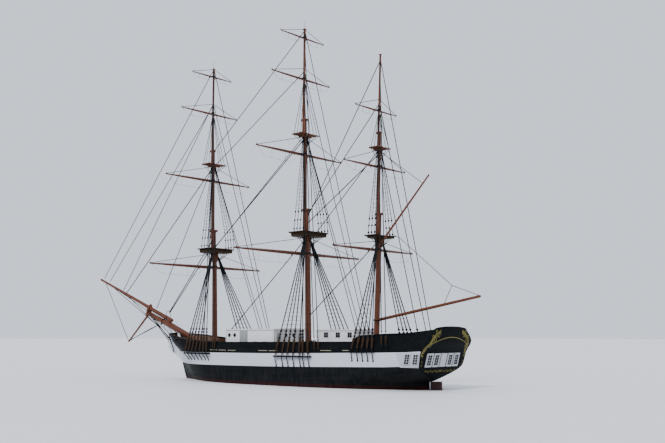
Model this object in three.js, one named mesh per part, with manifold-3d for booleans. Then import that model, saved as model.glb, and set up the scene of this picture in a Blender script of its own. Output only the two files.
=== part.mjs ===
// Full-rigged tall ship under bare poles, as a 1:2 scale model, in millimetres.
// +X points to the bow, +Y to port and +Z up. The origin is on the centreline, where the
// sternpost meets the waterline.

import * as THREE from 'three';
import { mergeVertices } from 'three/addons/utils/BufferGeometryUtils.js';
import Module from 'manifold-3d';

const wasm = await Module();
wasm.setup();

// Driving dimensions of the hull
const HALF_BEAM = 2250;          // widest half-breadth, at the waterline
const HULL_BOTTOM = -1750;       // lowest point of the hull planking
const KEEL_BOTTOM = -1900;       // underside of the keel
const KEEL_HALF = 60;            // half thickness of keel, stem and sternpost
const GAP = 0.3;                 // what is left between pieces that touch
const WALL = 70;                 // thickness of the bulwarks
const DECK_HEIGHT = { main: 40, poop: 350 };     // of each deck's top, above the hull's edge
const TAFFRAIL = 90;             // thickness of the stern wall, along X
const POOP_STATION = 6;          // row of STATIONS at which the poop's front stands
const POOP_FRONT = 3200;         // x of the poop's front

// Colours and finishes: [colour, roughness, metalness]
const PAINT = {
  black: [0x15181a, 0.5, 0.0],
  white: [0xc4c6cf, 0.5, 0.0],
  spar: [0x5e3222, 0.55, 0.0],
  deck: [0x9a7c58, 0.75, 0.0],
  house: [0xb8b6b4, 0.5, 0.0],
  trim: [0x4a2e1c, 0.6, 0.0],
  iron: [0x1b1b1d, 0.5, 0.4],
  rope: [0x26272a, 0.85, 0.0],
};

// Sheer lines, from aft: x, then the height of the white band's lower edge, of its upper
// edge, which is the deck's edge, and of the rail
const SHEER = [
  [-1250, 1100, 1775, 2705],
  [0, 1080, 1705, 2550],
  [1300, 1030, 1672, 2517],
  [2475, 1005, 1645, 2460],
  [3275, 997, 1637, 2178],
  [5900, 950, 1592, 2130],
  [8475, 922, 1557, 2117],
  [12100, 907, 1540, 2097],
  [13500, 903, 1540, 2150],
  [14900, 900, 1542, 2262],
  [16400, 900, 1546, 2425],
  [17900, 900, 1550, 2610],
];
const BAND_LOW = 1;
const BAND_HIGH = 2;
const RAIL = 3;

// Stations along the hull, as fractions from the stern's edge to the stem
const STATIONS = [0, 0.005, 0.04, 0.085, 0.135, 0.187, 0.2274, 0.3, 0.4, 0.5, 0.6, 0.7, 0.78, 0.845,
  0.9, 0.945, 0.975, 1];

// Level lines of the hull: z (or the sheer line followed), x at the stern, x at the stem, then
// the half-breadth at KNOTS, in parts of HALF_BEAM
const KNOTS = [0, 0.04, 0.1, 0.2, 0.35, 0.5, 0.65, 0.78, 0.87, 0.94, 0.98, 1];
const LEVELS = [
  { z: () => HULL_BOTTOM, stern: 120, bow: 15500,
    half: [0.027, 0.027, 0.027, 0.027, 0.027, 0.027, 0.027, 0.027, 0.027, 0.027, 0.027, 0.027] },
  { z: () => -1560, stern: 120, bow: 15900,
    half: [0.027, 0.03, 0.05, 0.13, 0.34, 0.46, 0.41, 0.22, 0.09, 0.04, 0.03, 0.027] },
  { z: () => -1050, stern: 120, bow: 16330,
    half: [0.027, 0.06, 0.15, 0.42, 0.78, 0.88, 0.82, 0.54, 0.26, 0.09, 0.045, 0.027] },
  { z: () => -450, stern: 120, bow: 16580,
    half: [0.027, 0.12, 0.33, 0.66, 0.92, 0.98, 0.94, 0.7, 0.41, 0.18, 0.08, 0.027] },
  { z: () => 0, stern: 120, bow: 16680,
    half: [0.027, 0.24, 0.5, 0.78, 0.96, 1, 0.97, 0.77, 0.49, 0.23, 0.1, 0.027] },
  { z: () => 335, stern: 120, bow: 16820,
    half: [0.027, 0.42, 0.64, 0.84, 0.965, 1, 0.98, 0.83, 0.59, 0.28, 0.12, 0.027] },
  { z: () => 400, stern: -180, bow: 16850,
    half: [0.027, 0.46, 0.67, 0.85, 0.965, 1, 0.98, 0.84, 0.6, 0.29, 0.13, 0.028] },
  { z: (x) => sheer(x, BAND_LOW), stern: -620, bow: 17060,
    half: [0.77, 0.775, 0.785, 0.845, 0.95, 0.99, 0.985, 0.915, 0.7, 0.35, 0.16, 0.03] },
  { z: (x) => sheer(x, BAND_HIGH), stern: -810, bow: 17270,
    half: [0.81, 0.8, 0.79, 0.825, 0.925, 0.975, 0.975, 0.925, 0.82, 0.46, 0.185, 0.035] },
  { z: (x) => 0.53 * sheer(x, BAND_HIGH) + 0.47 * sheer(x, RAIL), stern: -1120, bow: 17480,
    half: [0.77, 0.75, 0.725, 0.77, 0.895, 0.95, 0.955, 0.9, 0.81, 0.585, 0.315, 0.045] },
  { z: (x) => sheer(x, RAIL), stern: -1200, bow: 17720,
    half: [0.545, 0.665, 0.69, 0.71, 0.845, 0.89, 0.9, 0.84, 0.735, 0.62, 0.4, 0.055] },
];
const DECK_LEVEL = 8;
const MID_WALL = 9;
const RAIL_LEVEL = 10;

// Masts, from the deck up. Each of the three spars leans a little; x and z are those of its
// axis. foot and cap bound the lower mast, heel and head the topmast and the topgallant mast.
const MASTS = {
  fore: { deck: 'main', foot: [14488, 1560], cap: [14666, 8316], lowerRadius: 125, capRadius: 92,
    top: 7267, platform: 0.94, topRim: 190, topHeel: [14812, 7130], topHead: [14868, 12953], topRadius: 78,
    cross: 12121, gallantHeel: [14978, 12060], gallantHead: [14957, 17820], gallantRadius: 52,
    truck: [14957, 18285] },
  main: { deck: 'main', foot: [7420, 1560], cap: [7545, 8884], lowerRadius: 135, capRadius: 98,
    top: 7683, platform: 1, topRim: 190, topHeel: [7700, 7540], topHead: [7708, 13661], topRadius: 82,
    cross: 12829, gallantHeel: [7824, 12770], gallantHead: [7765, 18585], gallantRadius: 55,
    truck: [7762, 19020] },
  mizzen: { deck: 'poop', foot: [3055, 1950], cap: [2790, 8247], lowerRadius: 108, capRadius: 76,
    top: 7195, platform: 0.72, topRim: 95, topHeel: [2946, 7080], topHead: [2762, 12239], topRadius: 62,
    cross: 11465, gallantHeel: [2876, 11410], gallantHead: [2690, 16140], gallantRadius: 42,
    truck: [2690, 16141] },
};

// Platforms round the lower mastheads: the port half of each outline, as [x, y] from the mast's
// axis. The mizzen top is notched aft, where the gaff swings through it.
const TOPS = {
  fore: [[-670, 920], [420, 920], [555, 755], [666, 506], [720, 230]],
  main: [[-660, 950], [440, 950], [575, 780], [686, 522], [740, 238]],
  mizzen: [[-275, 290], [-530, 560], [-530, 720], [350, 720], [444, 590], [522, 396], [560, 180]],
};
const TOP = { plate: 40, inset: 95 };

// Crosstrees at the topmast heads: reach aft and forward of the axis, half width
const CROSSTREES = {
  fore: { aft: 415, front: 285, half: 640 },
  main: { aft: 405, front: 315, half: 680 },
  mizzen: { aft: 320, front: 284, half: 500 },
};

// Yards: name, mast, mast spar that carries it, x, z, half length, half thickness
const YARDS = [
  ['fore_course_yard', 'fore', 'lower', 15178, 6258, 4100, 64],
  ['fore_topsail_yard', 'fore', 'top', 15180, 11235, 3160, 54],
  ['fore_topgallant_yard', 'fore', 'gallant', 15235, 15195, 2118, 42],
  ['fore_royal_yard', 'fore', 'gallant', 15085, 17365, 1495, 32],
  ['main_course_yard', 'main', 'lower', 7932, 6605, 4670, 67],
  ['main_topsail_yard', 'main', 'top', 7998, 11840, 3278, 56],
  ['main_topgallant_yard', 'main', 'gallant', 7975, 15902, 2248, 44],
  ['main_royal_yard', 'main', 'gallant', 7910, 18138, 1680, 34],
  ['crossjack_yard', 'mizzen', 'lower', 3122, 6518, 3100, 52],
  ['mizzen_topsail_yard', 'mizzen', 'top', 3030, 10582, 2398, 42],
  ['mizzen_topgallant_yard', 'mizzen', 'gallant', 2965, 13368, 1628, 32],
];

// Bowsprit and jibboom: axis points [x, z] and radii
const BOWSPRIT = { heel: [15000, 1776], end: [20460, 3738], heelRadius: 155, endRadius: 122 };
const JIBBOOM = { heel: [18252, 3280], tip: [25500, 5975], heelRadius: 96, tipRadius: 40 };
const BOWSPRIT_CAP = { at: [20455, 3880], size: [170, 290, 640] };
const STRIKER = { top: [20570, 3625], tip: [22380, 2043], topRadius: 42, tipRadius: 26 };
const BOBSTAY = { low: [18395, 2085], high: [20130, 3500], spread: 60, radius: 26 };

// Spanker gaff and boom: inner and outer axis points [x, z] and radii
const GAFF = { jaw: 6690, peak: [-110, 9823], innerRadius: 52, outerRadius: 30 };
const BOOM = { jaw: 3150, end: [-2732, 4140], innerRadius: 58, outerRadius: 40 };
const COLLAR = { half: 42, wall: 26 };      // rings that carry yards, gaff and boom

// Deckhouses: lowest and highest x, half width, top of the wall
const HOUSES = {
  forward_deckhouse: { x: [8760, 12340], half: 1125, top: 2715 },
  aft_deckhouse: { x: [3790, 6220], half: 700, top: 2670 },
};
const ROOF = { thick: 45, lip: 45 };

// Channels: mast, z of the board, how far it stands out, height of the lowest deadeye, x of the
// lower shrouds and of the topmast backstays at the board
const CHANNELS = [
  { mast: 'fore', z: 1490, out: 230, eye: 2455, lower: [14490, 14170, 13830, 13485, 13140], back: [12813, 12541] },
  { mast: 'main', z: 1430, out: 190, eye: 2330, lower: [7507, 7076, 6729, 6357, 5952], back: [5734, 5412] },
  { mast: 'mizzen', z: 1745, out: 140, eye: 2400, lower: [2978, 2664, 2386, 2100], back: [1814] },
];
const CHANNEL = { thick: 45, margin: 100, drop: 340 };
const DEADEYE = { radius: 46, thick: 44, rise: 155, count: 3 };
const SHROUD_BAR = { wide: 110, thick: 40, foot: 115, neck: 60 };    // foot above the board, neck below the deadeye

// Rudder and its post
const RUDDER = { axisX: -60, aft: -642, top: 352, aftTop: 393, bottom: -1830, half: 45,
  stock: 48, stockTop: 900 };
const GUDGEON = { levels: [-1300, -480], height: 60, radius: 48, bore: 20.4, pintle: 19.5 };

// Small helpers

function sheer(x, line) {
  const k = Math.max(1, SHEER.findIndex((row) => row[0] >= x));
  const [a, b] = [SHEER[k - 1], SHEER[k]];
  return a[line] + (b[line] - a[line]) * (x - a[0]) / (b[0] - a[0]);
}

// Smooth interpolation of a table's column at t, by cubic Hermite pieces
function smooth(knots, values, t) {
  const last = knots.length - 1;
  const k = Math.min(last, Math.max(1, knots.findIndex((knot) => knot >= t)));
  const slope = (i) => {
    const [lo, hi] = [Math.max(0, i - 1), Math.min(last, i + 1)];
    return (values[hi] - values[lo]) / (knots[hi] - knots[lo]);
  };
  const span = knots[k] - knots[k - 1];
  const s = (t - knots[k - 1]) / span;
  const curve = values[k - 1] * (1 - s) ** 2 * (1 + 2 * s) + values[k] * s ** 2 * (3 - 2 * s);
  return curve + span * s * (1 - s) * (slope(k - 1) * (1 - s) - slope(k) * s);
}

// Point of the hull's port side at a level and a station
function side(level, t) {
  const line = LEVELS[level];
  const x = line.stern + (line.bow - line.stern) * t;
  return [x, HALF_BEAM * smooth(KNOTS, line.half, t), line.z(x)];
}

// The same point, moved inboard along the plan normal
function inboard(level, t, distance, rise = 0) {
  const [x, y, z] = side(level, t);
  const [a, b] = [side(level, Math.max(0.005, t - 0.01)), side(level, Math.min(1, t + 0.01))];
  const run = Math.hypot(b[0] - a[0], b[1] - a[1]);
  return [x + distance * (b[1] - a[1]) / run, y - distance * (b[0] - a[0]) / run, z + rise];
}

const mirrored = (points) => points.map(([x, y, z]) => [x, -y, z]).reverse();

// Lower and upper edge of a deck at a station, along the inner side of the bulwark
function deckEdge(t, thickness) {
  const low = inboard(DECK_LEVEL, t, WALL + 2, GAP);
  const middle = inboard(MID_WALL, t, WALL + 2);
  const share = thickness / (middle[2] - low[2]);
  return [low, low.map((value, k) => value + share * (middle[k] - value))];
}

// Height of a deck's top, which is ruled between the stations
function deckTop(x, deck) {
  const rows = STATIONS.map((t) => deckEdge(t, DECK_HEIGHT[deck])[1]);
  const k = Math.max(1, rows.findIndex((row) => row[0] >= x));
  const [a, b] = [rows[k - 1], rows[k]];
  return a[2] + (b[2] - a[2]) * (x - a[0]) / (b[0] - a[0]);
}

// A closed solid through rings of equal length, whose ends are closed across opposite points
function loft(rings) {
  const n = rings[0].length;
  const index = [];
  const quad = (a, b, c, d) => index.push(a, b, c, a, c, d);
  for (let r = 0; r + 1 < rings.length; r += 1) {
    for (let i = 0; i < n; i += 1) {
      const j = (i + 1) % n;
      const corners = [r * n + i, r * n + j, (r + 1) * n + j, (r + 1) * n + i];
      if (i >= n / 2) corners.push(corners.shift());     // so that both sides are split alike
      quad(...corners);
    }
  }
  const end = (rings.length - 1) * n;
  for (let i = 0; i + 1 < n / 2; i += 1) {
    quad(n - 1 - i, n - 2 - i, i + 1, i);
    quad(end + i, end + i + 1, end + n - 2 - i, end + n - 1 - i);
  }
  const geometry = new THREE.BufferGeometry();
  geometry.setAttribute('position', new THREE.Float32BufferAttribute(rings.flat(2), 3));
  geometry.setIndex(index);
  return solid(geometry);
}

function solid(source) {
  const bare = source.clone();
  bare.deleteAttribute('normal');
  bare.deleteAttribute('uv');
  const geometry = mergeVertices(bare, 1e-3);
  const at = geometry.getAttribute('position');
  const tri = Array.from(geometry.getIndex().array);
  const p = [0, 1, 2].map(() => new THREE.Vector3());
  let volume = 0;
  for (let i = 0; i < tri.length; i += 3) {
    p.forEach((point, k) => point.fromBufferAttribute(at, tri[i + k]));
    volume += p[0].dot(p[1].clone().cross(p[2]));
  }
  if (volume < 0) tri.reverse();
  return new wasm.Manifold(new wasm.Mesh({
    numProp: 3,
    vertProperties: Float32Array.from(at.array),
    triVerts: Uint32Array.from(tri),
  }));
}

const join = (...solids) => solids.flat().reduce((sum, piece) => sum.add(piece));
const shifted = (piece, offset) => piece.translate(offset);
const reflected = (piece) => piece.mirror([0, 1, 0]);

function box(size, centre, tilt = 0) {
  const geometry = new THREE.BoxGeometry(...size);
  geometry.rotateY(-tilt);
  geometry.translate(...centre);
  return solid(geometry);
}

// A turned piece along an axis, from a profile of [distance, radius]
function turned(start, end, profile, sides = 12) {
  const from = new THREE.Vector3(...start);
  const along = new THREE.Vector3(...end).sub(from);
  const points = profile.map(([d, radius]) => new THREE.Vector2(radius, d));
  const geometry = new THREE.LatheGeometry(points, sides);
  const up = new THREE.Vector3(0, 1, 0);
  geometry.applyQuaternion(new THREE.Quaternion().setFromUnitVectors(up, along.normalize()));
  geometry.translate(...start);
  return solid(geometry);
}

// A tapered round spar
function spar(start, end, startRadius, endRadius, sides = 12) {
  const length = Math.hypot(...end.map((value, k) => value - start[k]));
  return turned(start, end, [[0, 0], [0, startRadius], [length, endRadius], [length, 0]], sides);
}

// Radius of a 16-sided bore whose facets clear a round rod
const bored = (radius) => radius / Math.cos(Math.PI / 16) + GAP;

// An outline of [x, z] points, extruded across the ship
function plate(outline, thickness, y = 0) {
  const geometry = new THREE.ExtrudeGeometry(
    new THREE.Shape(outline.map(([x, z]) => new THREE.Vector2(x, z))),
    { depth: thickness, bevelEnabled: false },
  );
  geometry.rotateX(Math.PI / 2);
  geometry.translate(0, y + thickness / 2, 0);
  return solid(geometry);
}

// An outline of [x, y] points, extruded upwards from z
function slab(outline, thickness, z) {
  const geometry = new THREE.ExtrudeGeometry(
    new THREE.Shape(outline.map(([x, y]) => new THREE.Vector2(x, y))),
    { depth: thickness, bevelEnabled: false },
  );
  geometry.translate(0, 0, z);
  return solid(geometry);
}

const model = new THREE.Group();

function add(name, piece, paint) {
  const mesh = piece.getMesh();
  const geometry = new THREE.BufferGeometry();
  geometry.setAttribute('position', new THREE.BufferAttribute(mesh.vertProperties, 3));
  geometry.setIndex(new THREE.BufferAttribute(mesh.triVerts, 1));
  geometry.computeVertexNormals();
  const [color, roughness, metalness] = PAINT[paint];
  const material = new THREE.MeshStandardMaterial({ color, roughness, metalness });
  const node = new THREE.Mesh(geometry, material);
  node.name = name;
  model.add(node);
  return piece;
}

// Hull, keel, stem and head

function buildHull() {
  const rings = STATIONS.map((t) => {
    const port = [];
    for (let level = 0; level <= DECK_LEVEL; level += 1) port.push(side(level, t));
    return [...port, ...mirrored(port)];
  });
  const rudderPort = spar([RUDDER.axisX, 0, 200], [RUDDER.axisX, 0, RUDDER.stockTop + 40], 75, 75, 16);
  return loft(rings).subtract(rudderPort);
}

// A round bar on the rudder's axis, centred at z
const upright = (z, height, radius) => spar(
  [RUDDER.axisX, 0, z - height / 2], [RUDDER.axisX, 0, z + height / 2], radius, radius, 16);

// Keel, stem and sternpost, one plate outside the planking
function buildKeel() {
  const stemLine = [];
  for (let level = 0; level <= DECK_LEVEL; level += 1) stemLine.push(side(level, 1));
  const post = LEVELS[0].stern - GAP;
  const inner = [
    [post, 334], [post, HULL_BOTTOM - GAP],
    ...stemLine.map(([x, , z], level) => [x + GAP, z - (level === 0 ? GAP : 0)]),
    [17560, 2330],
  ];
  const outer = [
    [17690, 2380], [17365, 1550], [17175, 900], [16965, 400], [16790, 0], [16690, -450],
    [16440, -1050], [16010, -1600], [15560, KEEL_BOTTOM + 40], [15300, KEEL_BOTTOM],
    [-10, KEEL_BOTTOM], [-10, 360],
  ];
  const lugs = GUDGEON.levels.map((z) => {
    const eye = upright(z, GUDGEON.height, GUDGEON.radius);
    const arm = box([RUDDER.half + 20, 70, GUDGEON.height], [-10 - RUDDER.half / 2, 0, z]);
    return join(eye, arm).subtract(upright(z, GUDGEON.height + 20, GUDGEON.bore));
  });
  return join(plate([...inner, ...outer], 2 * KEEL_HALF), lugs);
}

// Knee of the head, with the billet that rises from it to the bowsprit
function buildKnee(bowspritBody) {
  const lower = plate([
    [17145, 905], [17330, 1550], [17505, 1995], [18420, 2120], [18522, 2075], [18464, 1721],
    [18062, 1460], [17428, 1113], [17185, 915],
  ], 100);
  const billet = plate([
    [17720, 1980], [18120, 2040], [18420, 2420], [18620, 2620], [18930, 2830], [18900, 2950], [18740, 3020],
    [18620, 2980], [18360, 2720], [18120, 2420], [17920, 2240], [17720, 2200],
  ], 100);
  return join(lower, billet).subtract(shifted(keel, [GAP, 0, 0])).subtract(shifted(bowspritBody, [0, 0, -GAP]));
}

// One bulwark: outer side, rail with its lips, inner side
function buildBulwark() {
  const rings = STATIONS.slice(1).map((t) => {
    const lip = 26;
    const rail = 62;
    return [
      inboard(DECK_LEVEL, t, 0, GAP), side(MID_WALL, t),
      inboard(RAIL_LEVEL, t, 0, -rail), inboard(RAIL_LEVEL, t, -lip, -rail), inboard(RAIL_LEVEL, t, -lip),
      inboard(RAIL_LEVEL, t, WALL + lip), inboard(RAIL_LEVEL, t, WALL + lip, -rail),
      inboard(RAIL_LEVEL, t, WALL, -rail), inboard(MID_WALL, t, WALL), inboard(DECK_LEVEL, t, WALL, GAP),
    ];
  });
  return loft(rings);
}

// Stern wall above the deck, with its rounded top
function buildTaffrail() {
  const deckEdge = side(DECK_LEVEL, 0);
  const middle = side(MID_WALL, 0);
  const corner = side(RAIL_LEVEL, 0);
  const rows = [
    [deckEdge[0], deckEdge[1], deckEdge[2] + GAP],
    middle,
    corner,
    [corner[0] - 6, 760, corner[2] + 78],
    [corner[0] - 8, 240, corner[2] + 106],
  ];
  return loft(rows.map(([x, y, z]) => [[x, y, z], [x + TAFFRAIL - 2, y, z], [x + TAFFRAIL - 2, -y, z], [x, -y, z]]));
}

// Deck between two stations
function buildDeck(first, last, thickness) {
  const rings = STATIONS.slice(first, last + 1).map((t) => {
    const edge = deckEdge(t, thickness);
    return [...edge, ...mirrored(edge)];
  });
  return loft(rings);
}

const hull = add('hull', buildHull(), 'black');
const keel = add('keel_and_stem', buildKeel(), 'black');

const bowspritAxis = [[BOWSPRIT.heel[0], 0, BOWSPRIT.heel[1]], [BOWSPRIT.end[0], 0, BOWSPRIT.end[1]]];
const bowspritBody = spar(...bowspritAxis, BOWSPRIT.heelRadius, BOWSPRIT.endRadius);
const knee = add('cutwater_knee', buildKnee(bowspritBody), 'white');
const bowspritBed = spar(...bowspritAxis, BOWSPRIT.heelRadius + 8, BOWSPRIT.endRadius + 8, 16);
const bulwark = buildBulwark().subtract(bowspritBed);
add('port_bulwark', bulwark, 'black');
add('starboard_bulwark', reflected(bulwark), 'black');

// The decks lie between the bulwarks; they meet at the upright front of the poop
const aftOf = (x) => box([30000, 6000, 6000], [x - 15000, 0, 2000]);
const betweenWalls = (piece) => piece.subtract(shifted(bulwark, [0, -GAP, 0]))
  .subtract(shifted(reflected(bulwark), [0, GAP, 0]));
const mainDeck = buildDeck(POOP_STATION - 1, STATIONS.length - 3, DECK_HEIGHT.main);
const poop = buildDeck(1, POOP_STATION + 1, DECK_HEIGHT.poop);
add('main_deck', betweenWalls(mainDeck).subtract(aftOf(POOP_FRONT + GAP)), 'deck');
add('poop', betweenWalls(poop).intersect(aftOf(POOP_FRONT)), 'deck');
const besideStern = join(bulwark, reflected(bulwark), poop);
add('taffrail', [[-GAP, 0, GAP], [-GAP, 0, -GAP], [0, 0, GAP]].reduce((piece, shift) =>
  piece.subtract(shifted(besideStern, shift)), buildTaffrail().subtract(besideStern)), 'black');

// Pieces that stand on a deck reach a little into it and are then cut by all that lies below
function buildGround(deck) {
  const rings = STATIONS.map((t) => {
    const [, [x, , z]] = deckEdge(t, DECK_HEIGHT[deck]);
    const edge = [[x, HALF_BEAM, z - 1000], [x, HALF_BEAM, z + GAP]];
    return [...edge, ...mirrored(edge)];
  });
  return loft(rings);
}
const SINK = 30;
const ground = { main: buildGround('main'), poop: buildGround('poop') };
const stood = (piece, deck) => piece.subtract(ground[deck]);

// Deckhouses, with a roof that stands out past the walls

function buildHouse({ x, half, top }) {
  const base = Math.min(...x.map((value) => deckTop(value, 'main'))) - SINK;
  const [length, middle] = [x[1] - x[0], (x[0] + x[1]) / 2];
  const walls = box([length, 2 * half, top - base], [middle, 0, (top + base) / 2]);
  const roof = box([length + 2 * ROOF.lip, 2 * (half + ROOF.lip), ROOF.thick], [middle, 0, top + ROOF.thick / 2]);
  return stood(join(walls, roof), 'main');
}

for (const [name, house] of Object.entries(HOUSES)) add(name, buildHouse(house), 'house');

// Deck fittings: name, deck, x, size, paint
const FITTINGS = [
  ['main_hatch', 'main', 7950, [620, 900, 170], 'trim'],
  ['fore_hatch', 'main', 13250, [620, 800, 160], 'trim'],
  ['poop_skylight', 'poop', 1900, [760, 620, 260], 'house'],
  ['helm_box', 'poop', -330, [420, 340, 400], 'house'],
];
for (const [name, deck, x, size, paint] of FITTINGS) {
  const z = deckTop(x, deck) - SINK + size[2] / 2;
  add(name, stood(box(size, [x, 0, z]), deck), paint);
}

// Windlass: barrel between two bitts
function buildWindlass(x) {
  const z = deckTop(x, 'main');
  const bitts = [-330, 330].map((y) => box([110, 70, 330], [x, y, z + 150]));
  return stood(join(spar([x, -560, z + 190], [x, 560, z + 190], 95, 95, 12), bitts), 'main');
}
add('windlass', buildWindlass(15900), 'trim');

// Helm wheel: rim, hub and spokes, its axle along X
const HELM = { x: -60, z: 345, rim: 250, bar: 20, spokes: 8 };
function buildHelm() {
  const [x, z] = [HELM.x, deckTop(0, 'poop') + HELM.z];
  const at = (d) => [x + d, 0, z];
  const [inner, outer] = [HELM.rim - HELM.bar, HELM.rim + HELM.bar];
  const rim = turned(at(-HELM.bar), at(HELM.bar), [[0, inner], [0, outer], [2 * HELM.bar, outer],
    [2 * HELM.bar, inner], [0, inner]], 16);
  const hub = spar(at(-30), at(30), 45, 45, 12);
  const spokes = [];
  for (let k = 0; k < HELM.spokes; k += 1) {
    const turn = (k + 0.5) * 2 * Math.PI / HELM.spokes;
    const tip = [x, (HELM.rim + 70) * Math.cos(turn), z + (HELM.rim + 70) * Math.sin(turn)];
    spokes.push(spar([x, 0, z], tip, 14, 10, 6));
  }
  return join(rim, hub, spokes, spar(at(-60 + GAP), at(0), 22, 22, 12));
}
add('helm_wheel', buildHelm(), 'spar');

// Rudder with its pintles and stock

function buildRudder() {
  const { axisX, aft, top, aftTop, bottom, half, stock, stockTop } = RUDDER;
  const blade = plate([[axisX, bottom], [aft + 30, bottom], [aft, bottom + 300], [aft, aftTop], [-190, aftTop - 8],
    [axisX, top]], 2 * half - 20);
  const nose = spar([axisX, 0, bottom], [axisX, 0, top], half - 5, half - 5, 16);
  const shaft = spar([axisX, 0, top - 10], [axisX, 0, stockTop], stock, stock, 12);
  const notches = GUDGEON.levels.map((z) => box([140, 200, GUDGEON.height + 16], [axisX + 15, 0, z]));
  const pintles = GUDGEON.levels.map((z) => upright(z, 2 * GUDGEON.height, GUDGEON.pintle));
  return join(join(blade, nose).subtract(join(notches)), pintles, shaft);
}
add('rudder', buildRudder(), 'black');

// Masts

const lerpAxis = (low, high, z) => low[0] + (high[0] - low[0]) * (z - low[1]) / (high[1] - low[1]);

// The spar of a mast, as its ends and radii
function mastSpar(mast, which) {
  const m = MASTS[mast];
  if (which === 'lower') return { low: m.foot, high: m.cap, lowRadius: m.lowerRadius, highRadius: m.capRadius };
  if (which === 'top') return { low: m.topHeel, high: m.topHead, lowRadius: m.topRadius, highRadius: m.topRadius * 0.8 };
  return { low: m.gallantHeel, high: m.gallantHead, lowRadius: m.gallantRadius, highRadius: m.gallantRadius * 0.5 };
}

function mastBody(mast, which) {
  const { low, high, lowRadius, highRadius } = mastSpar(mast, which);
  return spar([low[0], 0, low[1]], [high[0], 0, high[1]], lowRadius, highRadius);
}

function mastBore(mast, which) {
  const { low, high, lowRadius, highRadius } = mastSpar(mast, which);
  return spar([low[0], 0, low[1] - GAP], [high[0], 0, high[1] + GAP], bored(lowRadius), bored(highRadius), 16);
}

const STAY = 14;                 // radius of the stays
const rod = (a, b, radius = STAY) => spar(a, b, radius, radius, 6);
const forestayLegs = (radius) => [-1, 1].map((sign) => (
  rod([14690, sign * 120, 7776], [18500, sign * 30, 3759], radius)));

// Platform with its deep rim, round the lower masthead
function topOutline(mast, inset, x) {
  const port = TOPS[mast].map(([px, py]) => [x + px - Math.sign(px) * inset, py - inset]);
  return [...port, ...port.map(([px, py]) => [px, -py]).reverse()].reverse();
}

function buildTop(mast) {
  const m = MASTS[mast];
  const x = lerpAxis(m.foot, m.cap, m.top);
  const deck = slab(topOutline(mast, 0, x), TOP.plate, m.top - TOP.plate);
  const rim = slab(topOutline(mast, TOP.inset, x), m.topRim, m.top - TOP.plate - m.topRim);
  const holes = [mastBore(mast, 'lower'), mastBore(mast, 'top')];
  if (mast === 'fore') holes.push(...forestayLegs(STAY + 2 * GAP));
  return join(deck, rim).subtract(join(holes));
}

// Trestletrees and crosstrees at the head of a topmast, and the caps that hold the next spar
function buildCap(mast, carrier, carried, z, length, width) {
  const c = mastSpar(mast, carrier);
  const n = mastSpar(mast, carried);
  const [a, b] = [lerpAxis(c.low, c.high, z), lerpAxis(n.low, n.high, z)];
  return box([length, width, 110], [(a + b) / 2, 0, z]);
}

function buildCrosstrees(mast) {
  const m = MASTS[mast];
  const { aft, front, half } = CROSSTREES[mast];
  const middle = lerpAxis(m.topHeel, m.topHead, m.cross) + (front - aft) / 2;
  const long = aft + front;
  const rails = [-1, 1].map((sign) => box([long, 55, 80], [middle, sign * (m.topRadius + 10), m.cross - 75]));
  const platform = box([long, 2 * half, 40], [middle, 0, m.cross - 20]);
  const rim = box([long - 110, 2 * half - 110, 50], [middle, 0, m.cross - 60]);
  return join(rails, platform, rim);
}

const masts = {};
for (const mast of Object.keys(MASTS)) {
  const m = MASTS[mast];
  const lowerCap = buildCap(mast, 'lower', 'top', m.cap[1] - 20, 480 * m.platform, 250 * m.platform);
  const lower = join(mastBody(mast, 'lower'), lowerCap).subtract(mastBore(mast, 'top'));
  const topCap = buildCap(mast, 'top', 'gallant', m.topHead[1] - 20, 340 * m.platform, 180 * m.platform);
  const top = join(mastBody(mast, 'top'), topCap, buildCrosstrees(mast)).subtract(mastBore(mast, 'gallant'));
  const pole = spar([m.gallantHead[0], 0, m.gallantHead[1]], [m.truck[0], 0, m.truck[1]], 12, 8, 8);
  const gallant = mastBody(mast, 'gallant');
  masts[mast] = {
    lower: add(`${mast}_lower_mast`, stood(lower, m.deck), 'spar'),
    platform: add(`${mast}_top`, buildTop(mast), 'trim'),
    top: add(`${mast}_topmast`, top, 'spar'),
    gallant: add(`${mast}_topgallant_mast`, m.truck[1] - m.gallantHead[1] > 10 ? join(gallant, pole) : gallant, 'spar'),
  };
}

// A ring that turns on a mast, at height z on its axis
function buildCollar(mast, which, z) {
  const { low, high, lowRadius, highRadius } = mastSpar(mast, which);
  const share = (z - low[1]) / (high[1] - low[1]);
  const radius = lowRadius + (highRadius - lowRadius) * share;
  const axis = new THREE.Vector3(high[0] - low[0], 0, high[1] - low[1]).normalize();
  const centre = new THREE.Vector3(low[0] + (high[0] - low[0]) * share, 0, z);
  const [start, end] = [-1, 1].map((sign) => centre.clone().addScaledVector(axis, sign * COLLAR.half).toArray());
  const inner = bored(radius);
  const outer = inner + COLLAR.wall;
  const profile = [[0, inner], [0, outer], [2 * COLLAR.half, outer], [2 * COLLAR.half, inner], [0, inner]];
  return { ring: turned(start, end, profile, 16), bore: spar(start, end, inner, inner, 16), x: centre.x, outer };
}

// Yards, each with the truss or parrel that holds it off the mast
for (const [name, mast, which, x, z, half, radius] of YARDS) {
  const { ring, bore, x: mastX, outer } = buildCollar(mast, which, z);
  const ends = 0.42 * radius;
  const profile = [[0, 0], [0, ends], [0.5 * half, 0.82 * radius], [0.86 * half, radius],
    [1.14 * half, radius], [1.5 * half, 0.82 * radius], [2 * half, ends], [2 * half, 0]];
  const arm = box([x - mastX, 0.9 * radius, 0.9 * radius], [(x + mastX) / 2, 0, z]);
  const yard = turned([x, -half, z], [x, half, z], profile, 10);
  const truss = outer < x - mastX ? join(ring, arm.subtract(bore)) : ring;
  add(name, join(yard, truss), 'spar');
}

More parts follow.
